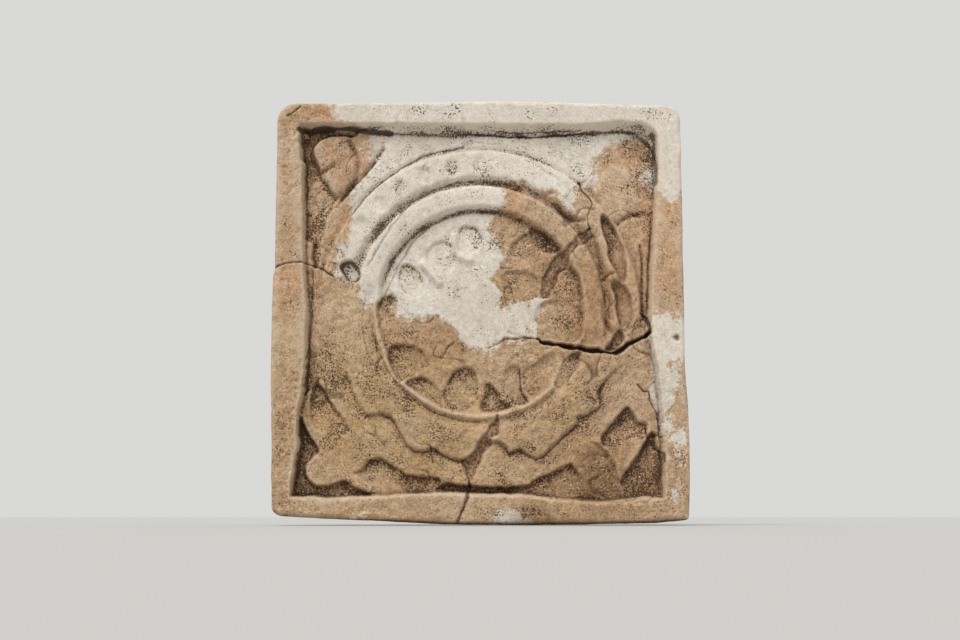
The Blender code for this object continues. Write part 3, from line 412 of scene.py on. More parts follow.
# Break lines between the pieces, each run from one meeting point to the next, or well out past the rim.
# Each is given with how it shows on the face: (half its width, its depth, how dark it has become).
OUTSIDE = 118
BREAKS = {
    "left rim": ((0.5, 0.9, 0.75), (
        (-OUTSIDE, 17.8), (-99.5, 17.8), (-94, 20.3), (-85.4, 21), (-79.8, 20), (-75.5, 18),
        (-70.8, 14.8),
    )),
    "plaster's left": ((0.3, 0.1, 0.1), (
        (-70.8, 14.8), (-69, 19.8), (-66.2, 25.8), (-62.4, 34), (-62.6, 44), (-61.6, 51), (-60, 57.6),
        (-54.3, 66), (-51, 72), (-47.6, 78), (-49, 84), (-60, 88), (-72.8, 90.7), (-73.5, 96),
        (-77, 100.4), (-79, OUTSIDE),
    )),
    "plaster's foot": ((0.3, 0.1, 0.1), (
        (-70.8, 14.8), (-65, 13), (-58.2, 11), (-57.6, 4.5), (-54.5, 1), (-49, 2.5), (-43, 6),
        (-40, -2.7), (-34.4, -6), (-27.7, -4), (-21, -3.3), (-16.5, -6.6), (-11.2, -9.9), (-9.2, -15.3),
        (-3.9, -19.2), (4.5, -19),
    )),
    "plaster's toe": ((0.5, 0.6, 0.6), ((4.5, -19), (8.6, -17.6), (12, -14.8), (19.9, -14.3), (28, -14.5))),
    "plaster's tongue": ((0.25, 0.1, 0.1), ((28, -14.5), (27.5, -9), (27.6, -4), (29.5, 1), (31, 5))),
    "ring sherd's left": ((0.35, 0.15, 0.15), (
        (31, 5), (22, 3.9), (10.3, 0), (10, 9.2), (5.3, 13.8), (11.9, 22.4), (10, 30), (3.3, 37.7),
        (10, 48), (13.6, 54), (10.3, 59.6), (20.6, 61), (24.5, 55.6), (29.8, 54.6), (37, 56.3),
        (42, 52.5), (48.7, 60.6),
    )),
    "ring sherd's right": ((0.6, 0.9, 0.75), ((48.7, 60.6), (51, 56), (55, 51), (53, 43), (53.5, 38))),
    "ring glue's left": ((0.5, 0.3, 0.35), (
        (53.5, 38), (48, 35), (46.4, 31.5), (41, 27.5), (38.5, 25.5), (35.8, 21.8), (31.5, 15), (30.5, 9),
        (31, 5),
    )),
    "ring glue's right": ((0.5, 0.4, 0.45), (
        (53.5, 38), (55, 34.5), (49.5, 31), (46, 28.5), (43.5, 24), (41.8, 19.8), (38, 17), (37, 13),
        (33.5, 6), (31, 5),
    )),
    "plaster's right": ((0.3, 0.2, 0.15), (
        (48.7, 60.6), (54.4, 63), (56.4, 69.5), (59.7, 74), (66.3, 79.5), (76, 83.5), (84, 80), (87, 70),
        (87.2, 57), (91.5, 54.6), (95.5, 53), (98.5, 57), (OUTSIDE, 57),
    )),
    "open crack": ((1.0, 4.6, 1.0), (
        (28, -14.5), (29.8, -16), (39.8, -17.9), (47.7, -19.2), (56.4, -20.2), (61.7, -21.6),
        (66.3, -20.9), (72.9, -16.6), (79.6, -13.9), (82, -12),
    )),
    "rim fill's inner end": ((0.3, 0.3, 0.3), ((82, -12), (82.3, -8), (83, -4))),
    "rim fill's top": ((0.3, 0.1, 0.05), ((83, -4), (90, -3.2), (99, -4.5), (OUTSIDE, -4.5))),
    "rim fill's foot": ((0.3, 0.1, 0.05), (
        (82, -12), (83, -20), (85.5, -28), (88.2, -34.5), (92.2, -31), (92.8, -26.5), (99, -25),
        (OUTSIDE, -25),
    )),
    "bottom rim": ((1.3, 0.9, 0.7), ((-10.8, -OUTSIDE), (-10.5, -101), (-5.9, -89.5), (-4.8, -84))),
    "lower glue's left": ((0.4, 0.3, 0.3), (
        (-4.8, -84), (-6, -78), (-8.8, -72.5), (-6, -71.3), (-1.5, -68), (0.2, -63), (4, -59.5), (6, -56),
        (8.6, -51.5),
    )),
    "lower glue's right": ((0.4, 0.3, 0.3), (
        (-4.8, -84), (-3.5, -80), (0, -73), (1, -69), (5, -65), (5.5, -61), (9, -60), (9.4, -56),
        (8.6, -51.5),
    )),
    "seam's top": ((0.5, 0.25, 0.25), (
        (8.6, -51.5), (8.2, -46), (4.5, -40), (3.5, -36), (4, -28), (4.5, -19),
    )),
}
# Fine cracks that don't part the clay, and creases of the relief darkened with dirt and painted shade, given
# the same way
HAIRLINES = (
    ((0.5, 0.6, 0.7), ((-94, 92), (-92, 93), (-89.7, 94.7), (-87.5, 96.5))),
    ((0.7, 0.6, 0.55), ((-18.5, -24), (-16.5, -21.5), (-15, -19), (-12.5, -16.5))),
    ((0.5, 0.6, 0.75), ((76.5, -36.5), (79, -39.5), (81.6, -40), (82, -44), (85.3, -50), (86.4, -58))),
    ((0.6, 0.5, 0.7), ((80, -57), (80.5, -61), (83, -64), (84.5, -67), (88, -69), (88.5, -73))),
    ((0.4, 0.4, 0.5), ((38.5, -90.5), (43, -91.3), (47, -92))),
    ((0.4, 0.4, 0.5), ((44, -89.8), (52, -90), (58, -90.6))),
    ((0.4, 0.4, 0.5), ((63, -92), (70, -91.5), (75, -90))),
    ((0.6, 0.5, 0.65), ((19.4, -29), (19.6, -37), (20.6, -41), (23.5, -44.6))),
    ((0.6, 0.4, 0.4), ((14, -11.6), (19.5, -13.4), (24.5, -14.8))),
    ((0.5, 0.5, 0.7), ((20.5, -15.6), (23, -14.6), (28, -14.6))),
    ((0.4, 0.3, 0.45), ((60.5, -35.5), (58, -38), (56.5, -40.5))),
    ((0.4, 0.3, 0.4), ((50, -24), (47, -28.5), (43.5, -33), (42.5, -37))),
    ((0.4, 0.3, 0.4), ((-81, -63), (-78, -67), (-76.5, -69.5))),
    ((0.8, 1.2, 0.8), ((78, -2.5), (80.9, -4.6), (81.9, -8.6), (82, -12))),
    ((0.4, 0.3, 0.5), ((70.5, -11), (73, -14.5), (76, -16))),
    ((0.35, 0.4, 0.6), ((-80.9, 18), (-80.8, 8), (-81, -6), (-82, -16), (-83.5, -25))),
    ((0.35, 0.3, 0.5), ((78.4, 30), (79.3, 22), (79, 12), (79, 0), (79.8, -5))),
    ((1.6, 0.5, 0.9), ((-88, 85.5), (-80, 86.4), (-70, 87), (-62, 86.6), (-54, 85.4), (-43, 84.8))),
    ((1.0, 0.2, 0.55), ((-43, 84.9), (-30, 84.4), (-15, 83.4), (0, 84.2))),
    ((0.7, 0.5, 0.85), ((-2, 84.4), (6, 84), (14, 83.2), (25, 83.2), (36, 84), (50, 84.9))),
    ((0.4, 0.3, 0.75), ((8, 85.4), (20, 85), (30, 85.2), (40, 85.9), (50, 86.3))),
    ((1.1, 0.3, 0.65), ((50, 85), (60, 85.6), (70, 86), (77, 85), (82, 81), (85.4, 76), (86.4, 68),
                        (86, 60))),
    ((0.9, 0.2, 0.5), ((-54, 20), (-49.5, 28.5), (-43, 38.4), (-33.6, 50.7), (-21.6, 57), (-11.8, 60.5),
                       (-2.1, 61), (10, 59.6))),
    ((0.8, 0.2, 0.5), ((-46, 6), (-38.3, 22.6), (-31, 33.4), (-22.8, 40.3), (-14, 44.7), (-5.8, 47.2),
                       (8.5, 46.2))),
    ((0.6, 0.3, 0.65), ((-62, 45), (-55, 54), (-46, 62), (-36, 69), (-27, 74), (-18.5, 76), (-8, 78))),
    ((0.8, 0.5, 0.65), ((-67.5, 52), (-62, 58), (-56.5, 63.6), (-50.5, 71))),
    ((0.6, 0.2, 0.4), ((-8, 79), (-2, 80.5), (6, 80), (14, 79.4))),
    ((0.5, 0.4, 0.6), ((-47, -50.6), (-42, -53), (-39.8, -57), (-37.6, -60.4), (-35.3, -65), (-32.3, -68),
                       (-27, -68.4), (-22, -67.3), (-18, -70), (-11.5, -72.6), (-6, -72.2))),
    ((0.5, 0.4, 0.6), ((12.5, -66.5), (14, -69.5), (19.2, -67.9), (22.5, -70), (26.5, -71.8), (30.5, -70.8),
                       (35.3, -66.2), (40.3, -61.4), (44.4, -58.2), (47.4, -55.4), (48.2, -52.6))),
    ((0.4, 0.3, 0.4), ((48.2, -52.6), (53.4, -50.8), (58.8, -46.6), (57.4, -41), (60.8, -35), (66, -29))),
    ((1.0, 0.4, 0.5), ((-74.5, 59), (-72.5, 55.5), (-70, 52.5), (-67.5, 54.5), (-64, 58))),
    ((0.7, 0.3, 0.4), ((-86.5, 37), (-83, 34), (-79, 31.5), (-75.5, 29), (-72, 25))),
    ((0.4, 0.4, 0.5), ((-52.3, -8), (-49.4, -20), (-43, -32.2), (-33.8, -42.3), (-22.2, -49.7), (-9.1, -53.8),
                       (0, -54.4))),
    ((0.35, 0.4, 0.45), ((-55, 6), (-57, -6), (-54.5, -20), (-47, -35))),
)


def laid(points):
    """Drawn places as they really lie on the tile."""
    points = np.array(points, float)
    return np.stack([points[:, 0] * SPREAD, ((points[:, 1] - SPREAD_FOOT) * SPREAD + SPREAD_FOOT) * TALL], 1)


# How finely a break is drawn, how far the breaks and hairlines wander, and over what length
BREAK_STEP = 0.8
BREAK_WANDER = 0.75
HAIRLINE_WANDER = 0.5
WANDER_LENGTH = 3.2


def ragged(points, amount, seed):
    """A run broken raggedly, as brittle clay breaks, with its two ends kept."""
    finer = [points[:1]]
    for start, end in zip(points, points[1:]):
        count = max(1, math.ceil(math.dist(start, end) / BREAK_STEP))
        finer.append(start + (end - start) * (np.arange(1, count + 1) / count)[:, None])
    run = np.concatenate(finer)
    along = np.concatenate([[0], np.cumsum(np.hypot(*np.diff(run, axis=0).T))])
    held = eased(np.minimum(along, along[-1] - along) / 2)
    for axis in (0, 1):
        apart = np.full_like(along, seed * 7.3 + axis * 31)
        run[:, axis] += amount * held * mottle(along, apart, WANDER_LENGTH, seed, 2)
    return run


broken = {}
for k, (name, (_, run)) in enumerate(BREAKS.items()):
    broken[name] = ragged(laid(run), BREAK_WANDER, 11 + k)



def uneven(size, seed, octaves=3):
    """Smooth random unevenness over the whole tile, with spots about size across."""
    return mottle(tile_u, tile_v, size, seed, octaves)


# The surface is uneven by hand and by wear: the floors are sandy and pitted, and the plaster is smoother.
# First come the rim and the wall down to the recess, which slopes most under the top rim. Amounts of
# unevenness are in millimetres.
recess = inside_sides(tile_u, tile_v, RIM_WIDTH, RECESS_WANDER, RECESS_RADII)
recess += 0.45 * uneven(5, 21, 4) + 0.5 * pits(tile_u, tile_v, 3, 0.3, 25) * (tile_v < -20)
rise = level * CARVING_RISE
# The clay's ridges are worn round, and its hollows are silted up at their edges
WORN_SHARE = 0.2
rise += (softened(rise, 3) - rise) * WORN_SHARE * (1 - is_upper)
hollow_ground = np.clip(1 - level, 0, 1)
from_top = HALF * TALL - RIM_WIDTH + np.interp(tile_u, *zip(*RECESS_WANDER[3])) - tile_v
wall = RECESS_WALL + (TOP_WALL - RECESS_WALL) * eased(1.5 - (from_top - recess) / 3)
wall += 0.4 * uneven(12, 24, 2)
on_rim = 1 - np.clip(recess / wall, 0, 1)
rim_top = RIM_RISE - 0.4 + 0.25 * uneven(30, 22, 2)
rim_top = rim_top - 0.4 * np.clip(1 + recess / 1.2, 0, 1) ** 3
rise += (rim_top - rise) * on_rim
rise = softened(rise, 0.6, times=1)
# The rim's outer arris is worn round, most along the foot
edge = inside_sides(tile_u, tile_v, 0, EDGE_WANDER, CORNER_RADII)
edge_round = RIM_ROUND * (1 + 0.6 * uneven(10, 23) + 0.5 * (tile_v < -90))
off_edge = 1 - np.clip(edge / edge_round, 0, 1)
rise -= edge_round * (1 - np.sqrt(1 - off_edge**2))


def run_of(parts):
    """Break lines run end to end: a minus sign runs one backwards, and a pair is a far corner."""
    places = []
    for part in parts:
        if not isinstance(part, str):
            places.append(np.array([part], float))
            continue
        run = broken[part.lstrip("-")]
        places.append(run[::-1] if part.startswith("-") else run)
    run = np.concatenate(places)
    keep = np.hypot(*(run - np.roll(run, 1, axis=0)).T) > 0.01
    return run[keep]


# The far corners that close the run of a piece at the tile's edge, beyond the ends of the breaks
FAR = OUTSIDE * 1.03
plaster_fill_run = run_of((
    "plaster's foot", "plaster's toe", "plaster's tongue", "ring sherd's left", "plaster's right", (FAR, FAR),
    "-plaster's left",
))
rim_fill_run = run_of(("rim fill's inner end", "rim fill's top", "-rim fill's foot"))
# From clay, 0, to plaster, 1, over two millimetres at the border
in_plaster = np.zeros_like(rise)
for run in (plaster_fill_run, rim_fill_run):
    at = around(run, 3, tile_u, tile_v)
    in_plaster[at] = np.maximum(in_plaster[at], eased(0.5 + distance(run, tile_u[at], tile_v[at]) / 2))
# The floors of the openings are sandy, and here and there a patch beside them
sandy_floor = np.clip(1.5 * hollow_ground + 0.5 * uneven(22, 43) - 0.1, 0, 1)
sandy_floor = softened(sandy_floor * (1 - on_rim), 0.9) * (1 - 0.6 * in_plaster)
rough = (1 - 0.65 * in_plaster) * (0.65 + 0.8 * hollow_ground + 0.4 * (1 - on_rim))
rise += rough * 0.28 * uneven(9, 31)
# Wrinkles where the clay did not flow together in the mould
WRINKLE_DEPTH = 0.4
fold = np.clip(1.3 - np.abs(uneven(14, 37, 2)) / 0.05, 0, 1)
fold *= np.clip(4 * uneven(13, 38, 2) + 0.3, 0, 1) * (1 - on_rim) * (1 - 0.5 * in_plaster)
rise -= WRINKLE_DEPTH * fold
for amount, size, seed in ((0.3, 3.4, 36), (0.2, 1.7, 32)):
    rise += rough * amount * uneven(size, seed, 2)
# Small and large pits: (how much shallower in plaster, spacing, share of the squares with one, seed)
PIT_DEPTH = 0.45
sandy = np.clip(0.3 + 1.4 * hollow_ground + 0.9 * uneven(14, 33), 0, 1)
for filled, spacing, share, seed in ((0.3, 1.9, 0.5, 34), (0.25, 4.2, 0.3, 35)):
    rise -= (PIT_DEPTH - filled * in_plaster) * sandy * pits(tile_u, tile_v, spacing, share, seed)
# The plaster stands a hair proud of the clay beside it
PLASTER_PROUD = 0.12
rise += PLASTER_PROUD * in_plaster * (1 - on_rim)
# Glue lies lower than the clay on both sides of it: how much, and over what width
GLUE_SUNK = 1.6
GLUE_SLOPE = 1.2
for side in ("lower glue", "ring glue"):
    run = np.concatenate([broken[side + "'s left"], broken[side + "'s right"][::-1]])
    at = around(run, GLUE_SLOPE, tile_u, tile_v)
    rise[at] -= GLUE_SUNK * np.clip(1 + distance(run, tile_u[at], tile_v[at]) / GLUE_SLOPE, 0, 1)
# What shows of the breaks, hairlines and wrinkles: a worn groove, dark with old glue and dirt, and in the
# creases and wrinkles with painted shade as well
seam = 0.55 * fold
shown = [(BREAKS[name][0], run) for name, run in broken.items()]
shown += [(look, ragged(laid(run), HAIRLINE_WANDER, 60 + k)) for k, (look, run) in enumerate(HAIRLINES)]
for (half_width, depth, dark), run in shown:
    at = around(run, 4, tile_u, tile_v)
    away = distance(run, tile_u[at], tile_v[at], closed=False)
    vary = 0.8 + 0.8 * mottle(tile_u[at], tile_v[at], 7, 41, 4)
    rise[at] -= depth * np.clip(1.5 - away / (half_width * vary + 0.15), 0, 1) * np.clip(vary, 0, 1)
    seam[at] = np.maximum(seam[at], dark * np.clip(1.4 - away / (half_width * vary + 0.12), 0, 1))
# A small hole in the plaster patch of the right rim
HOLE_PLACE = (95.6, -14.2)
HOLE_REACH = 1.6
HOLE_DEPTH = 1.3
from_hole = np.hypot(tile_u - HOLE_PLACE[0], tile_v - HOLE_PLACE[1])
rise -= HOLE_DEPTH * np.clip(1.4 - from_hole / HOLE_REACH, 0, 1)
# How far each place lies under its surroundings and under a ledge: the colour is darkened there, partly as
# dirt and partly as painted shade, most of all under a ledge, where it paints the shadow of a light from
# above.
# Convex edges come out below zero and are painted paler, partly as wear and partly as a painted highlight.
UNDER_TOP_RIM = 84
TOP_WALL_LEAST = 2.2
fine_hollow = np.clip((softened(rise, 2) - rise) / 0.8, -1, 1)
ledge = np.zeros_like(rise)
for reach in (2, 4, 7):
    above = np.concatenate([rise[reach:], np.repeat(rise[-1:], reach, axis=0)])
    ledge += np.clip((above - rise - 0.25) / 2, 0, 1) / 3
wide_hollow = np.clip((softened(rise, 9) - rise) / 3.5, -1, 1)
on_wall = (recess > 0) & (recess < wall)
on_top_wall = on_wall & (wall > TOP_WALL_LEAST)
shade_and_dirt_amount = 0.55 * fine_hollow + 0.6 * wide_hollow + 0.36 * hollow_ground * (1 - on_rim) - 0.1 * (recess < 0)
# The recess's walls get less painted shade, and the wall under the top rim, which faces down, is painted
# paler as if lit
shade_and_dirt_amount += 0.55 * softened(ledge, 0.6, times=1) - 0.6 * on_wall
shade_and_dirt_amount = np.minimum(shade_and_dirt_amount, 0.85) - 1.4 * on_top_wall
# A dark line, dirt and painted shade, follows the crease at the foot of the recess's other three walls
crease = np.exp(-(((recess - wall - 0.4) / 0.55) ** 2)) * (tile_v < UNDER_TOP_RIM)
seam = np.maximum(seam, crease * np.clip(0.5 + 0.5 * uneven(16, 42), 0, 1))
# Beyond the tile's sides the sheet runs on level, for the sides to trim, and no place is above the rim
rise[edge < -0.8] = RIM_RISE - RIM_ROUND
rise = np.minimum(rise, RIM_RISE)


def active_grid(name, across, upward):
    """A flat grid of points that faces -Y, made as a primitive; its places are set by the sheet's axes."""
    bpy.ops.mesh.primitive_grid_add(
        x_subdivisions=len(across) - 1, y_subdivisions=len(upward) - 1, size=2, rotation=(math.pi / 2, 0, 0)
    )
    made = bpy.context.object
    made.name = name
    bpy.ops.object.transform_apply(rotation=True)
    places = np.empty(len(made.data.vertices) * 3)
    made.data.vertices.foreach_get("co", places)
    places = places.reshape(-1, 3)
    column = np.rint((places[:, 0] + 1) / 2 * (len(across) - 1)).astype(int)
    row = np.rint((places[:, 2] + 1) / 2 * (len(upward) - 1)).astype(int)
    return made, row, column


def set_places(made, x, y, z):
    """Sets the places of all the mesh's points at once, from millimetres."""
    made.data.vertices.foreach_set("co", (np.stack([x, y, z], axis=1) / 1000).ravel())
    made.data.update()


def closed_behind(made, by):
    """Draws the grid's border straight back and closes it with one flat face."""
    bpy.ops.object.mode_set(mode="EDIT")
    bpy.ops.mesh.select_mode(type="EDGE")
    bpy.ops.mesh.select_all(action="DESELECT")
    bpy.ops.mesh.select_non_manifold()
    bpy.ops.mesh.extrude_region_move(TRANSFORM_OT_translate={"value": (0, by / 1000, 0)})
    bpy.ops.transform.resize(value=(1, 0, 1))
    bpy.ops.mesh.edge_face_add()
    bpy.ops.mesh.select_all(action="SELECT")
    bpy.ops.mesh.normals_make_consistent(inside=False)
    bpy.ops.object.mode_set(mode="OBJECT")


FACE_DRAWN_BACK = 12
face, row, column = active_grid("face", ACROSS, UPWARD)
set_places(face, ACROSS[column], -(PLATE + rise[row, column]), UPWARD[row])
closed_behind(face, FACE_DRAWN_BACK)

# The back, which nobody saw: beaten flat by hand in the mould, with the stump of the broken collar
# that once keyed the tile into the stove standing round it. It is drawn forward to meet the face's
# block inside the plate.
COLLAR_INSET = 6
COLLAR_WALL = 8
COLLAR_STUMP = 5.5
COLLAR_HIGHEST = 6.7
BACK_STEP = 1.2
BACK_DRAWN_FORWARD = 5
back_across = np.arange(-103, 103.5, BACK_STEP)
back_upward = np.arange(-104.9, 105.4, BACK_STEP)
back_u, back_v = np.meshgrid(back_across, back_upward)
back_edge = inside_sides(back_u, back_v, 0, EDGE_WANDER, CORNER_RADII)
in_collar = np.minimum(back_edge - COLLAR_INSET, COLLAR_INSET + COLLAR_WALL - back_edge)
in_collar += 0.9 * mottle(back_u, back_v, 6, 51, 2)
stump = COLLAR_STUMP + 1.1 * mottle(back_u, back_v, 13, 52, 3) + 0.5 * mottle(back_u, back_v, 3, 53, 2)
back_rise = np.clip(stump, 2, COLLAR_HIGHEST) * eased((in_collar + 0.6) / 1.6)
flat_back = 0.225 * (mottle(back_u, back_v, 26, 54, 3) - 1)
flat_back = flat_back + 0.15 * (mottle(back_u, back_v, 3.5, 55, 2) - 1)
back_rise += flat_back - 0.5 * pits(back_u, back_v, 7, 0.2, 56)
back_rise -= 1.4 * np.clip(1 - back_edge / 1.8, 0, 1) ** 2
back, row, column = active_grid("back", back_across, back_upward)
set_places(back, back_across[column], back_rise[row, column], back_upward[row])
closed_behind(back, -BACK_DRAWN_FORWARD)


def upright_block(name, outline, levels):
    """A closed block with the outline's walls, from the first to the last level of depth."""
    count = len(outline)
    bpy.ops.mesh.primitive_circle_add(
        vertices=count, radius=1, fill_type="NGON", rotation=(math.pi / 2, 0, 0)
    )
    made = bpy.context.object
    made.name = name
    bpy.ops.object.transform_apply(rotation=True)
    set_places(made, outline[:, 0], np.full(count, float(levels[0])), outline[:, 1])
    bpy.ops.object.mode_set(mode="EDIT")
    bpy.ops.mesh.select_all(action="SELECT")
    for before, after in zip(levels, levels[1:]):
        bpy.ops.mesh.extrude_region_move(
            TRANSFORM_OT_translate={"value": (0, (after - before) / 1000, 0)}
        )
    bpy.ops.mesh.select_all(action="SELECT")
    bpy.ops.mesh.normals_make_consistent(inside=False)
    bpy.ops.object.mode_set(mode="OBJECT")
    return made


def tile_outline(step):
    """The tile's own outline as places about a step apart."""
    left, right, bottom, top = (tuple(zip(*side)) for side in EDGE_WANDER)
    low_left, low_right, high_left, high_right = CORNER_RADII
    high = HALF * TALL
    rightwards = np.arange(-HALF + low_left, HALF - low_right, step)
    upwards = np.arange(-high + low_right, high - high_right, step)
    leftwards = np.arange(HALF - high_right, -HALF + high_left, -step)
    downwards = np.arange(high - high_left, -high + low_left, -step)
    sides = (
        np.stack([rightwards, -high - np.interp(rightwards, *bottom)], 1),
        np.stack([HALF + np.interp(upwards / TALL, *right), upwards], 1),
        np.stack([leftwards, high + np.interp(leftwards, *top)], 1),
        np.stack([-HALF - np.interp(downwards / TALL, *left), downwards], 1),
    )
    places = []
    for k, side in enumerate(sides):
        places.append(side)
        end = side[-1]
        after = sides[(k + 1) % 4][0]
        turn = np.radians(90) * np.arange(1, 5) / 5
        swing = np.stack([np.sin(turn), 1 - np.cos(turn)], 1)
        places.append(end + (after - end) * (swing if k % 2 == 0 else swing[:, ::-1]))
    return np.concatenate(places)


# The tile's four sides were trimmed with a wire and handled while soft, so they waver a little inwards.
# They are one upright block, from well before the face to well behind the back, which trims the tile.
SIDE_STEP = 1.2
SIDE_LEVELS = np.arange(-21.5, 8.6, 1.5)
# How many millimetres of side a radian round the tile is taken for
AROUND_SCALE = 120
walls = upright_block("sides", tile_outline(SIDE_STEP), SIDE_LEVELS)
places = np.empty(len(walls.data.vertices) * 3)
walls.data.vertices.foreach_get("co", places)
places = places.reshape(-1, 3) * 1000
turn = np.arctan2(places[:, 2], places[:, 0])
along = turn * AROUND_SCALE
waver = 0.2 * (mottle(along, places[:, 1], 9, 57, 3) - 1)
waver = waver + 0.12 * (mottle(along, places[:, 1], 2.6, 58, 2) - 1)
waver -= 0.5 * pits(along, places[:, 1], 6, 0.25, 59)
shrunk = 1 + waver / HALF
set_places(walls, places[:, 0] * shrunk, places[:, 1], places[:, 2] * shrunk)


def combined(made, operation, other):
    """Applies a Boolean of two closed meshes to the first."""
    step = made.modifiers.new("combined", "BOOLEAN")
    step.operation = operation
    step.solver = "MANIFOLD"
    step.object = other
    bpy.context.view_layer.objects.active = made
    bpy.ops.object.modifier_apply(modifier=step.name)


combined(face, "UNION", back)
combined(face, "INTERSECT", walls)
bpy.data.objects.remove(back)
bpy.data.objects.remove(walls)


# The clay sherds: five pieces of one tile, unglazed buff earthenware with sand in it, pressed in a
# mould, fired at about 900 degrees and long buried. They broke raggedly and were glued together again.
def sample(sheet, at_u, at_v):
    """The sheet's value at places between its points."""
    x = np.clip((at_u - ACROSS[0]) / STEP, 0, len(ACROSS) - 1.001)
    y = np.clip((at_v - UPWARD[0]) / STEP, 0, len(UPWARD) - 1.001)
    column = x.astype(int)
    row = y.astype(int)
    right = x - column
    up = y - row
    low = sheet[row, column] * (1 - right) + sheet[row, column + 1] * right
    high = sheet[row + 1, column] * (1 - right) + sheet[row + 1, column + 1] * right
    return low * (1 - up) + high * up


def spots(places):
    """A sheet with soft round spots: (u, v, radius, strength)."""
    total = np.zeros_like(tile_u)
    for spot_u, spot_v, size, strength in places:
        away = np.hypot(tile_u - spot_u, tile_v - spot_v * TALL) / size
        total += strength * np.exp(-(away**2))
    return total


# Where the clay fired redder (above 0) or stayed yellow (below 0)
redness = spots((
    (93, 28, 26, 0.45), (92, 52, 12, 0.5), (90, -45, 22, 0.2), (-80, 97, 9, 0.5), (-75, 96, 5, 0.5),
    (-94, 12, 9, 0.6), (-70, 5, 12, 0.35), (-66, 36, 8, 0.5), (-55, 73, 6, 0.5), (17, 55, 9, 0.6),
    (17, 46, 6, 0.4), (72, 72, 9, 0.5), (62, -5, 12, 0.3), (-70, 68, 12, 0.3), (-60, -30, 45, -0.45),
    (-20, -62, 30, -0.32), (40, -62, 35, -0.35), (-50, -93, 40, -0.2), (-25, -97, 12, 0.3),
))
# Old dirt and soot that has worked into the surface, and where it has been rubbed clean (below 0)
grime = spots((
    (80, 60, 9, 0.1), (64, 5, 14, 0.35), (70, 30, 14, 0.3), (-20, -20, 22, 0.25),
    (10, -42, 12, 0.4), (-30, -84, 14, 0.35), (58, -84, 16, 0.55), (80, -84, 14, 0.4),
    (-94, -62, 9, 0.4), (-92, -90, 12, 0.4), (25, -98, 9, 0.6), (10, -98, 12, 0.3), (33, 20, 10, 0.4),
    (52, 36, 6, 0.7), (30, -80, 12, 0.3), (-84, -30, 6, 0.3), (70, -55, 22, 0.35), (60, -15, 16, 0.35),
    (-94, 60, 30, -0.15), (-96, -10, 26, -0.15), (92, 30, 24, -0.15), (-30, -99, 40, 0.3),
    (40, -99, 40, 0.3), (-78, 97, 6, 0.5),
    (45, -40, 22, 0.2), (-60, -97, 26, 0.15), (-22, 56, 4, 0.2), (-97, -80, 12, 0.25), (60, -98, 24, 0.3),
    (22, -101, 5, 0.7), (33, -101.5, 5, 0.7), (94, -75, 14, 0.2), (70, 10, 20, 0.15), (-93, -93, 8, 0.4),
    (95.6, -14, 1.6, 1.6), (78, 66, 14, -0.4), (-78, 46, 13, -0.35), (-73, -52, 10, -0.25),
    (-86, -84, 8, -0.4), (55, -86, 10, 0.25), (-22, -60, 14, -0.2),
    (68, 66, 10, -0.2), (0, -62, 30, -0.12), (-62, -20, 24, -0.12), (-36, -56, 12, -0.25), (-84, 52, 8, -0.2),
))
# Where plaster was smeared over the clay
chalk = spots((
    (92, -33, 6, 0.95), (91, -42, 6, 0.7), (94, -58, 8, 0.62), (95, -72, 7, 0.55), (95, -85, 6, 0.55),
    (93, 53, 5, 0.5), (-55, -98, 8, 0.5), (8, -99, 7, 0.6), (14, -99, 5, 0.55), (-48, 63, 5, 0.5),
    (-64, 58, 6, 0.5), (83, -40, 3, 0.6), (20, -20, 5, 0.55), (6, -22, 5, 0.45), (-62, -6, 7, 0.45),
    (-72, 55, 5, 0.35), (45, 50, 7, 0.62), (56, 62, 8, 0.5), (26, -26, 6, 0.4), (-68, 30, 6, 0.45),
    (83, 64, 7, 0.55), (80, 72, 9, 0.4), (-35, 4, 6, 0.4), (50, -24, 6, 0.3), (-55, -30, 9, 0.3),
    (-50, 82, 7, 0.6), (-58, 76, 6, 0.45), (88, -15, 5, 0.7), (70, 0, 5, 0.2), (-10, -35, 8, 0.3),
    (87, -36, 5, 1.0), (88, -47, 4, 0.9), (88.5, -55, 3.5, 0.75), (89.5, -26, 5, 1.0), (97, -62, 3.5, 0.8),
    (94, -90, 3, 0.7), (-60, -103, 4, 0.9), (18, -101, 5, 0.8), (24, -102, 4, 0.7),
))
# Rubbed brown places on the plaster, as on its patch in the rim
rubbed = spots((
    (94, -27.5, 3, 1.4), (95.6, -14, 2.2, 1.2), (96, -6, 6, 0.6), (-70, 98, 5, 0.7), (-52, 95, 6, 0.35),
    (-40, 80, 9, 0.5), (-25, 80, 8, 0.3),
    (45, 72, 12, 0.35), (60, 78, 10, 0.5), (-63, 20, 6, 0.7), (20, -8, 7, 0.5), (5, -14, 6, 0.4),
    (78, 97, 9, 0.3), (10, 64, 8, 0.2), (-45, 4, 5, 0.4), (30, 62, 8, 0.4), (15, 35, 5, 0.3),
))
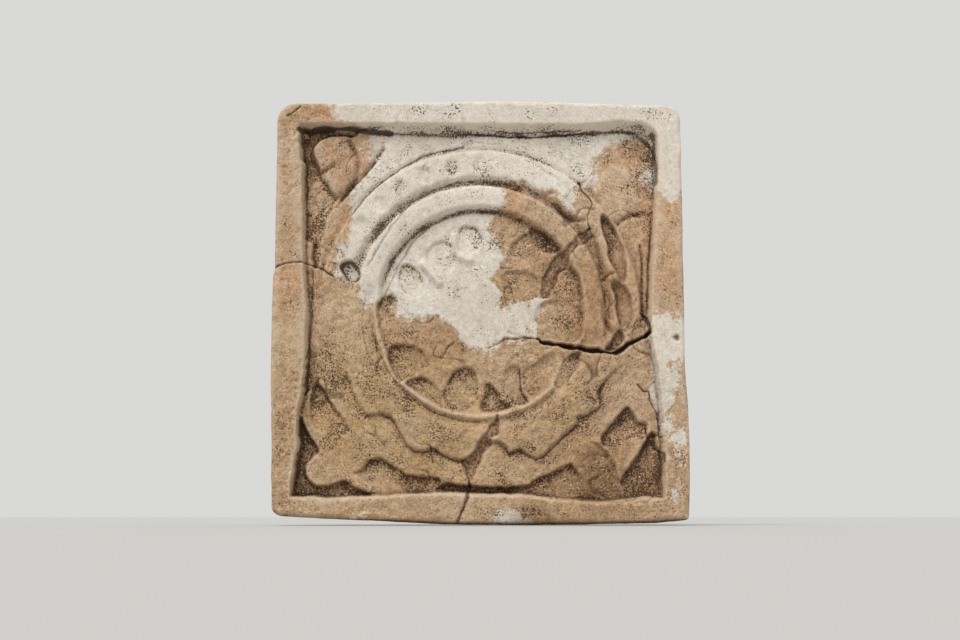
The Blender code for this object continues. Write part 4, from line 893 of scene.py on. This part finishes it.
# Where dirt has stayed as packed dark crumbs
crumbed = spots((
    (-63, 19, 5, 1.3), (-35, 16, 5, 1.1), (-4, 34, 5.5, 1.0), (7, 33, 4, 0.9), (-26, 64, 4, 0.8),
    (-14.5, 67.5, 4, 0.9), (-0.5, 67.5, 4, 0.8), (-39, 60, 4, 0.5), (-47, 49, 4, 0.4), (-55, 38, 4, 0.4),
    (17, 64.5, 5, 0.7), (27, 63.5, 5, 0.7), (-20, 28, 4, 0.5), (80, 78, 9, 0.35), (84, 68, 7, 0.5),
    (-78, 48, 9, 0.3), (-22, 16, 4, 0.5), (62, 80, 10, 0.5), (55, 70, 10, 0.4), (-40, 82, 10, 0.3),
    (70, 97, 10, 0.5), (82, 95, 6, 0.6), (-30, 97, 8, 0.3), (-48, -20, 12, 0.7), (-50, -36, 9, 0.7),
    (-30, -84, 10, 0.6), (10, -42, 8, 0.5), (52, 36, 7, 0.8), (-8, 8, 6, 0.25), (-86, -60, 16, 0.3),
    (-94, -62, 9, 0.9), (-92, -94, 9, 0.9), (28, -100, 10, 0.9), (95, -80, 14, 0.6), (0, -99, 14, 0.6),
    (-95, 40, 20, 0.45), (25, -60, 12, 0.6), (58, -42, 16, 0.7), (75, -85, 12, 0.4), (-70, 72, 10, 0.7),
    (-20, 97, 14, 0.6), (30, 97, 14, 0.6), (90, 94, 8, 0.7), (-62, -30, 18, 0.5), (-20, -62, 14, 0.5),
    (0, 84, 40, 0.25), (-46, 40, 10, 0.5), (-60, 20, 10, 0.4), (92, 10, 14, 0.3),
))
# How deep each place lies inside the plaster, or, below zero, outside it, over 5 mm each way
SMEAR_REACH = 5
signed = np.full_like(tile_u, -1.0)
for run in (plaster_fill_run, rim_fill_run):
    at = around(run, SMEAR_REACH, tile_u, tile_v)
    inwards = distance(run, tile_u[at], tile_v[at]) / SMEAR_REACH
    signed[at] = np.maximum(signed[at], np.clip(inwards, -1, 1))
white = np.where(signed > 0, 0.12 + 1.3 * signed - rubbed, -0.12 + 1.3 * signed + 2.0 * chalk)
# Dark crumbs gather most thickly in hollows and under ledges, partly as dirt and partly as painted shade; the
# wall under the top rim gets fewer, to paint it paler
specks = 0.6 * fine_hollow + 0.4 * wide_hollow + 0.65 * sandy_floor + 0.9 * crumbed
specks += 0.35 * ledge - 0.2 * on_rim + in_plaster * (0.9 * np.clip(fine_hollow, 0, 1) + 0.8 * ledge)
specks -= 0.35 * on_top_wall
# Painted shade along the face's bottom arris, dark as the shadow under the tile's foot
bottom_arris = np.clip((-99.5 - tile_v) / 2.5, 0, 1) * np.clip(1 - edge / 3, 0, 1)
seam = np.maximum(seam, 0.95 * bottom_arris)


def dressed(made):
    """Writes onto each point how much painted shade and dirt it has, and how cracked, grimy, red or white it
    is, for the materials to read.

    The broken edges inside the tile count as deeply sunk and dark, the lowest part of the sides and back gets
    a painted shade, and the back counts as evenly grimy.
    """
    places = np.empty(len(made.data.vertices) * 3)
    made.data.vertices.foreach_get("co", places)
    x, y, z = places.reshape(-1, 3).T * 1000
    under = -y - PLATE - sample(rise, x, z)
    depth = inside_sides(x, z, 0, EDGE_WANDER, CORNER_RADII)
    on_face = (np.abs(under) < 0.35) & (depth > 0.3)
    in_break = (depth > 1.2) & (y < -0.8) & ~on_face
    values = {
        "sunk": np.where(on_face, sample(shade_and_dirt_amount, x, z), np.where(in_break, 0.8, 0)),
        "seam": np.where(on_face, sample(seam, x, z), np.where(in_break, 0.9, np.where(z < -95, 0.45, 0))),
        "redness": sample(redness, x, z),
        "grime": np.where(y > -0.8, 0.45, sample(grime, x, z)),
        "white": np.where(y > -0.8, 1.5 * sample(signed, x, z), sample(white, x, z)),
        "specks": np.where(on_face, sample(specks, x, z), 0.3),
        "sandy": np.where(on_face, sample(sandy_floor, x, z), 0.5),
    }
    for name, value in values.items():
        layer = made.data.attributes.new(name, "FLOAT", "POINT")
        layer.data.foreach_set("value", value.astype(np.float32))


def drawn_in(points, inset):
    """An outline moved inwards by inset, with the reach of its sharpest corners limited."""
    before = points - np.roll(points, 1, axis=0)
    after = np.roll(before, -1, axis=0)
    turning = np.sum(points[:, 0] * np.roll(points[:, 1], -1) - np.roll(points[:, 0], -1) * points[:, 1])
    way = math.copysign(1, turning)
    normals = []
    for run in (before, after):
        across = np.stack([-run[:, 1], run[:, 0]], axis=1) * way
        normals.append(across / np.linalg.norm(across, axis=1, keepdims=True))
    middle = normals[0] + normals[1]
    reach = np.minimum(2 / np.sum(middle * middle, axis=1), 4)
    return points + middle * (reach * inset)[:, None]


# A piece is cut from the whole tile by a block between these levels, a hair inside its break lines
CUT_LEVELS = (-24, 12)
CUT_INSET = 0.02


def piece_of_tile(name, run, material):
    """What of the whole tile lies inside a piece's own break lines, as the finished piece."""
    bpy.ops.object.select_all(action="DESELECT")
    face.select_set(True)
    bpy.context.view_layer.objects.active = face
    bpy.ops.object.duplicate()
    made = bpy.context.object
    made.name = name + "_look"
    block = upright_block("block", drawn_in(run, CUT_INSET), CUT_LEVELS)
    combined(made, "INTERSECT", block)
    bpy.data.objects.remove(block)
    dressed(made)
    made.data.materials.clear()
    made.data.materials.append(material)
    bpy.ops.object.select_all(action="DESELECT")
    made.select_set(True)
    bpy.context.view_layer.objects.active = made
    bpy.ops.object.shade_smooth_by_angle(angle=math.radians(50))
    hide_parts(name)
    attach(made, "root")


def linear(hex_colour):
    """An sRGB hex colour as the linear colour that a shader takes."""
    parts = [int(hex_colour[k:k + 2], 16) / 255 for k in (1, 3, 5)]
    return [*(part / 12.92 if part <= 0.04045 else ((part + 0.055) / 1.055) ** 2.4 for part in parts), 1]


def node(tree, kind, inputs, out=0, **settings):
    """Adds a node with its settings, sets or links its inputs, and gives back one of its outputs."""
    made = tree.nodes.new(kind)
    for name, value in settings.items():
        setattr(made, name, value)
    for name, value in inputs.items():
        if isinstance(value, bpy.types.NodeSocket):
            tree.links.new(value, made.inputs[name])
        else:
            made.inputs[name].default_value = value
    return made.outputs[out]


def clay_and_plaster(name, roughness, grain_height):
    """Buff clay and white plaster, whichever the piece is: each is smeared over the other at its edges."""
    material = bpy.data.materials.new(name)
    material.use_nodes = True
    tree = material.node_tree
    shader = tree.nodes["Principled BSDF"]
    place = node(tree, "ShaderNodeTexCoord", {}, "Object")
    point_values = {
        layer: node(tree, "ShaderNodeAttribute", {}, "Fac", attribute_name=layer)
        for layer in ("sunk", "seam", "redness", "grime", "white", "specks", "sandy")
    }
    # Scale 25 gives clouds about 40 mm across, 105 clusters of 10 mm, 140 blotches of 7 mm, 310 smears
    # and marks of 3 mm, 1250 crumbs of 0.8 mm and 1500 grain of 0.7 mm. Real sand is finer, and is drawn
    # coarser so that it shows.
    clouds = node(tree, "ShaderNodeTexNoise", {"Vector": place, "Scale": 25, "Detail": 3})
    blotch = node(tree, "ShaderNodeTexNoise", {"Vector": place, "Scale": 140, "Detail": 4})
    smear = node(tree, "ShaderNodeTexNoise", {"Vector": place, "Scale": 310, "Detail": 5, "Roughness": 0.75})
    grain = node(tree, "ShaderNodeTexNoise", {"Vector": place, "Scale": 1500, "Detail": 2, "Roughness": 0.7})
    crumbs = node(tree, "ShaderNodeTexNoise", {"Vector": place, "Scale": 1250, "Detail": 2, "Roughness": 0.5})
    cluster = node(tree, "ShaderNodeTexNoise", {"Vector": place, "Scale": 105, "Detail": 2})
    off_blotch = node(tree, "ShaderNodeMath", {0: blotch, 1: 0.5}, operation="SUBTRACT")

    # Clay: pale and deeper buff in clouds, then redder or yellower as it was fired
    share = node(tree, "ShaderNodeMapRange", {0: clouds, 1: 0.38, 2: 0.64})
    clay = node(tree, "ShaderNodeMix", {0: share, 6: linear("#c3a687"), 7: linear("#b08d69")}, 2,
                data_type="RGBA")
    heat = node(tree, "ShaderNodeMath", {0: point_values["redness"], 1: off_blotch})
    for start, full, tint in ((0.05, 0.8, "#c69d7a"), (-0.05, -0.8, "#b09063")):
        share = node(tree, "ShaderNodeMapRange", {0: heat, 1: start, 2: full})
        clay = node(tree, "ShaderNodeMix", {0: share, 6: clay, 7: linear(tint)}, 2, data_type="RGBA")
    # Plaster: warm white, greyer in clouds and browned in blotches
    share = node(tree, "ShaderNodeMapRange", {0: clouds, 1: 0.38, 2: 0.64})
    plaster = node(tree, "ShaderNodeMix", {0: share, 6: linear("#d8d0c4"), 7: linear("#cdc4b6")}, 2,
                   data_type="RGBA")
    share = node(tree, "ShaderNodeMapRange", {0: blotch, 1: 0.52, 2: 0.75, 4: 0.6})
    plaster = node(tree, "ShaderNodeMix", {0: share, 6: plaster, 7: linear("#c4b59d")}, 2, data_type="RGBA")
    # Which of the two shows: the border is broken up by smears
    smeared = node(tree, "ShaderNodeMath", {0: smear, 1: 4.4, 2: -2.2}, operation="MULTIPLY_ADD")
    smeared = node(tree, "ShaderNodeMath", {0: point_values["white"], 1: smeared})
    is_white = node(tree, "ShaderNodeMapRange", {0: smeared, 1: -0.5, 2: 0.5},
                    interpolation_type="SMOOTHSTEP")
    colour = node(tree, "ShaderNodeMix", {0: is_white, 6: clay, 7: plaster}, 2, data_type="RGBA")
    # Grain: strong in the sandy floors, weak where the clay is smooth and weaker still in plaster
    sandiness = node(tree, "ShaderNodeMapRange", {0: point_values["sandy"], 3: 0.56, 4: 1.0})
    strength = node(tree, "ShaderNodeMapRange", {0: is_white, 3: sandiness, 4: 0.36})
    lightness = node(tree, "ShaderNodeMapRange", {0: grain, 1: 0.34, 2: 0.62, 3: 0.5, 4: 1.3})
    colour = node(tree, "ShaderNodeHueSaturation", {"Value": lightness, "Fac": strength, "Color": colour})
    # Marks of fingers, brush and wear, also weaker in plaster
    strength = node(tree, "ShaderNodeMapRange", {0: is_white, 3: 0.9, 4: 0.4})
    lightness = node(tree, "ShaderNodeMapRange", {0: smear, 1: 0.36, 2: 0.6, 3: 0.68, 4: 1.22})
    colour = node(tree, "ShaderNodeHueSaturation", {"Value": lightness, "Fac": strength, "Color": colour})
    # A dark film in the hollows and under ledges: dirt, and painted shade
    shade_and_dirt = point_values["sunk"]
    for more in (point_values["grime"], off_blotch):
        shade_and_dirt = node(tree, "ShaderNodeMath", {0: shade_and_dirt, 1: more})
    film = node(tree, "ShaderNodeMix", {0: is_white, 6: linear("#7d5d41"), 7: linear("#a08a6e")}, 2,
                data_type="RGBA")
    share = node(tree, "ShaderNodeMapRange", {0: shade_and_dirt, 1: 0.12, 2: 1.4, 4: 0.85})
    colour = node(tree, "ShaderNodeMix", {0: share, 6: colour, 7: film}, 2, data_type="RGBA")
    # High places and convex edges paler: wear, and a painted highlight; the wall under the top rim paler
    # still, as painted light
    share = node(tree, "ShaderNodeMapRange", {0: shade_and_dirt, 1: -0.1, 2: -0.7, 4: 0.42})
    colour = node(tree, "ShaderNodeMix", {0: share, 6: colour, 7: linear("#dccbb4")}, 2, data_type="RGBA")
    # Pale crumbs of lime and sand
    share = node(tree, "ShaderNodeMapRange", {0: crumbs, 1: 0.41, 2: 0.3, 4: sandiness})
    share = node(tree, "ShaderNodeMath", {0: share, 1: 0.7}, operation="MULTIPLY")
    colour = node(tree, "ShaderNodeMix", {0: share, 6: colour, 7: linear("#d8cbb6")}, 2, data_type="RGBA")
    # Dark crumbs packed in the pits, in clusters, thickest in hollows and under ledges: dirt, and partly
    # painted shade
    packed = node(tree, "ShaderNodeMath", {0: point_values["specks"], 1: 0.13, 2: crumbs}, operation="MULTIPLY_ADD")
    packed = node(tree, "ShaderNodeMath", {0: cluster, 1: 0.6, 2: packed}, operation="MULTIPLY_ADD")
    packed = node(tree, "ShaderNodeMath", {0: is_white, 1: -0.03, 2: packed}, operation="MULTIPLY_ADD")
    packed = node(tree, "ShaderNodeMapRange", {0: packed, 1: 0.96, 2: 1.03}, interpolation_type="SMOOTHSTEP")
    share = node(tree, "ShaderNodeMath", {0: packed, 1: 0.85}, operation="MULTIPLY")
    colour = node(tree, "ShaderNodeMix", {0: share, 6: colour, 7: linear("#4a3423")}, 2, data_type="RGBA")
    # Old glue and dirt along the cracks; dirt and painted shade along the creases and wrinkles; painted shade
    # along the foot
    seam = node(tree, "ShaderNodeMath", {0: grain, 1: 1.1, 2: -0.55}, operation="MULTIPLY_ADD")
    seam = node(tree, "ShaderNodeMath", {0: point_values["seam"], 1: seam})
    share = node(tree, "ShaderNodeMapRange", {0: seam, 1: 0.3, 2: 0.75, 4: 0.92})
    colour = node(tree, "ShaderNodeMix", {0: share, 6: colour, 7: linear("#3a281b")}, 2, data_type="RGBA")
    tree.links.new(colour, shader.inputs["Base Color"])
    shader.inputs["Roughness"].default_value = roughness
    shader.inputs["IOR"].default_value = 1.5
    shader.inputs["Specular IOR Level"].default_value = 0.25
    # Relief too fine for the mesh: grain, and the pits that hold crumbs
    height = node(tree, "ShaderNodeMath", {0: packed, 1: -0.6, 2: grain}, operation="MULTIPLY_ADD")
    bump = node(tree, "ShaderNodeBump", {"Height": height, "Distance": grain_height / 1000})
    tree.links.new(bump, shader.inputs["Normal"])
    return material


# Fired clay: unglazed buff earthenware. The mould, the sand and long burial have left it matt and dusty
# with a dirty grain, and plaster is smeared on it beside the fills.
fired_clay = clay_and_plaster("fired_clay_unglazed_buff", 0.94, 0.6)
SHERDS = {
    "upper_left_sherd": ("left rim", "plaster's left", (-FAR, FAR)),
    "lower_left_sherd": (
        "-left rim", (-FAR, -FAR), "bottom rim", "lower glue's left", "seam's top", "-plaster's foot",
    ),
    "lower_right_sherd": (
        "bottom rim", "lower glue's right", "seam's top", "plaster's toe", "open crack",
        "rim fill's foot", (FAR, -FAR),
    ),
    "right_sherd": (
        "-plaster's tongue", "open crack", "rim fill's inner end", "rim fill's top", "-plaster's right",
        "ring sherd's right", "ring glue's right",
    ),
    "ring_sherd": ("ring sherd's left", "ring sherd's right", "ring glue's left"),
}
for name, parts in SHERDS.items():
    piece_of_tile(name, run_of(parts), fired_clay)

# The plaster fills: white gypsum plaster that was cast into the lost places and shaped by hand to carry
# on the relief, smoothed wet and rubbed down dry. That leaves a soft chalky white without shine, with a
# few bubbles, and browned by dirt in its grooves.
plaster = clay_and_plaster("gypsum_plaster_rubbed_smooth", 0.9, 0.2)
piece_of_tile("plaster_fill", plaster_fill_run, plaster)
piece_of_tile("rim_plaster_fill", rim_fill_run, plaster)

# The glue: animal glue mixed with clay dust, pressed hot into two open seams. It has shrunk, and dried a
# dull dark brown with a faint shine. Scale 300 gives blotches about 3 mm across, and 900 crumbs of 1 mm.
old_glue = bpy.data.materials.new("animal_glue_dull_brown")
old_glue.use_nodes = True
tree = old_glue.node_tree
place = node(tree, "ShaderNodeTexCoord", {}, "Object")
blotch = node(tree, "ShaderNodeTexNoise", {"Vector": place, "Scale": 300, "Detail": 4})
grain = node(tree, "ShaderNodeTexNoise", {"Vector": place, "Scale": 900, "Detail": 4, "Roughness": 0.75})
share = node(tree, "ShaderNodeMapRange", {0: blotch, 1: 0.4, 2: 0.62})
colour = node(tree, "ShaderNodeMix", {0: share, 6: linear("#9f7b59"), 7: linear("#78583e")}, 2,
              data_type="RGBA")
# Dark crumbs where the grain is high, and pale dust where it is low
for start, full, strength, tint in ((0.5, 0.62, 0.95, "#33221a"), (0.47, 0.38, 0.85, "#bea27f")):
    share = node(tree, "ShaderNodeMapRange", {0: grain, 1: start, 2: full, 4: strength})
    colour = node(tree, "ShaderNodeMix", {0: share, 6: colour, 7: linear(tint)}, 2, data_type="RGBA")
tree.links.new(colour, tree.nodes["Principled BSDF"].inputs["Base Color"])
tree.nodes["Principled BSDF"].inputs["Roughness"].default_value = 0.65
bump = node(tree, "ShaderNodeBump", {"Height": grain, "Distance": 0.0006})
tree.links.new(bump, tree.nodes["Principled BSDF"].inputs["Normal"])
for side in ("lower", "ring"):
    parts = (f"{side} glue's left", f"-{side} glue's right")
    piece_of_tile(f"{side}_glue_fill", run_of(parts), old_glue)
bpy.data.objects.remove(face)

# The floor and the light: a pale matt studio floor, a pale surround, and one broad soft light from
# above, in front and a little to the left.
bpy.ops.mesh.primitive_plane_add(size=60, location=(0, 0, cad_box[0][2]))
floor = bpy.context.object
floor.name = "floor"
floor_paint = bpy.data.materials.new("matt_floor_paint")
floor_paint.use_nodes = True
floor_paint.node_tree.nodes["Principled BSDF"].inputs["Base Color"].default_value = linear("#bab9b6")
floor_paint.node_tree.nodes["Principled BSDF"].inputs["Roughness"].default_value = 0.9
floor.data.materials.append(floor_paint)
world = bpy.data.worlds.new("pale_surround")
world.use_nodes = True
world.node_tree.nodes["Background"].inputs["Color"].default_value = linear("#d9d9d7")
bpy.context.scene.world = world
bpy.ops.object.light_add(type="SUN", rotation=(math.radians(36), 0, math.radians(-24)))
sun = bpy.context.object
sun.name = "broad_soft_light"
sun.data.energy = 2.2
sun.data.angle = math.radians(34)
bpy.context.scene.view_settings.view_transform = "Standard"

# The camera stands low and looks a little up, so that the tile's sides draw together towards the top
CAMERA_ASIDE = -0.0138
CAMERA_AWAY = -0.7775
CAMERA_LIFT = 0.004
CAMERA_UP = 7.13
CAMERA_TURN = -1.053
bpy.ops.object.camera_add(
    location=(CAMERA_ASIDE, CAMERA_AWAY, cad_box[0][2] + CAMERA_LIFT),
    rotation=(math.radians(90 + CAMERA_UP), 0, math.radians(CAMERA_TURN)),
)
camera = bpy.context.object
camera.data.lens = 59.1
camera.data.clip_start = 0.01
bpy.context.scene.camera = camera
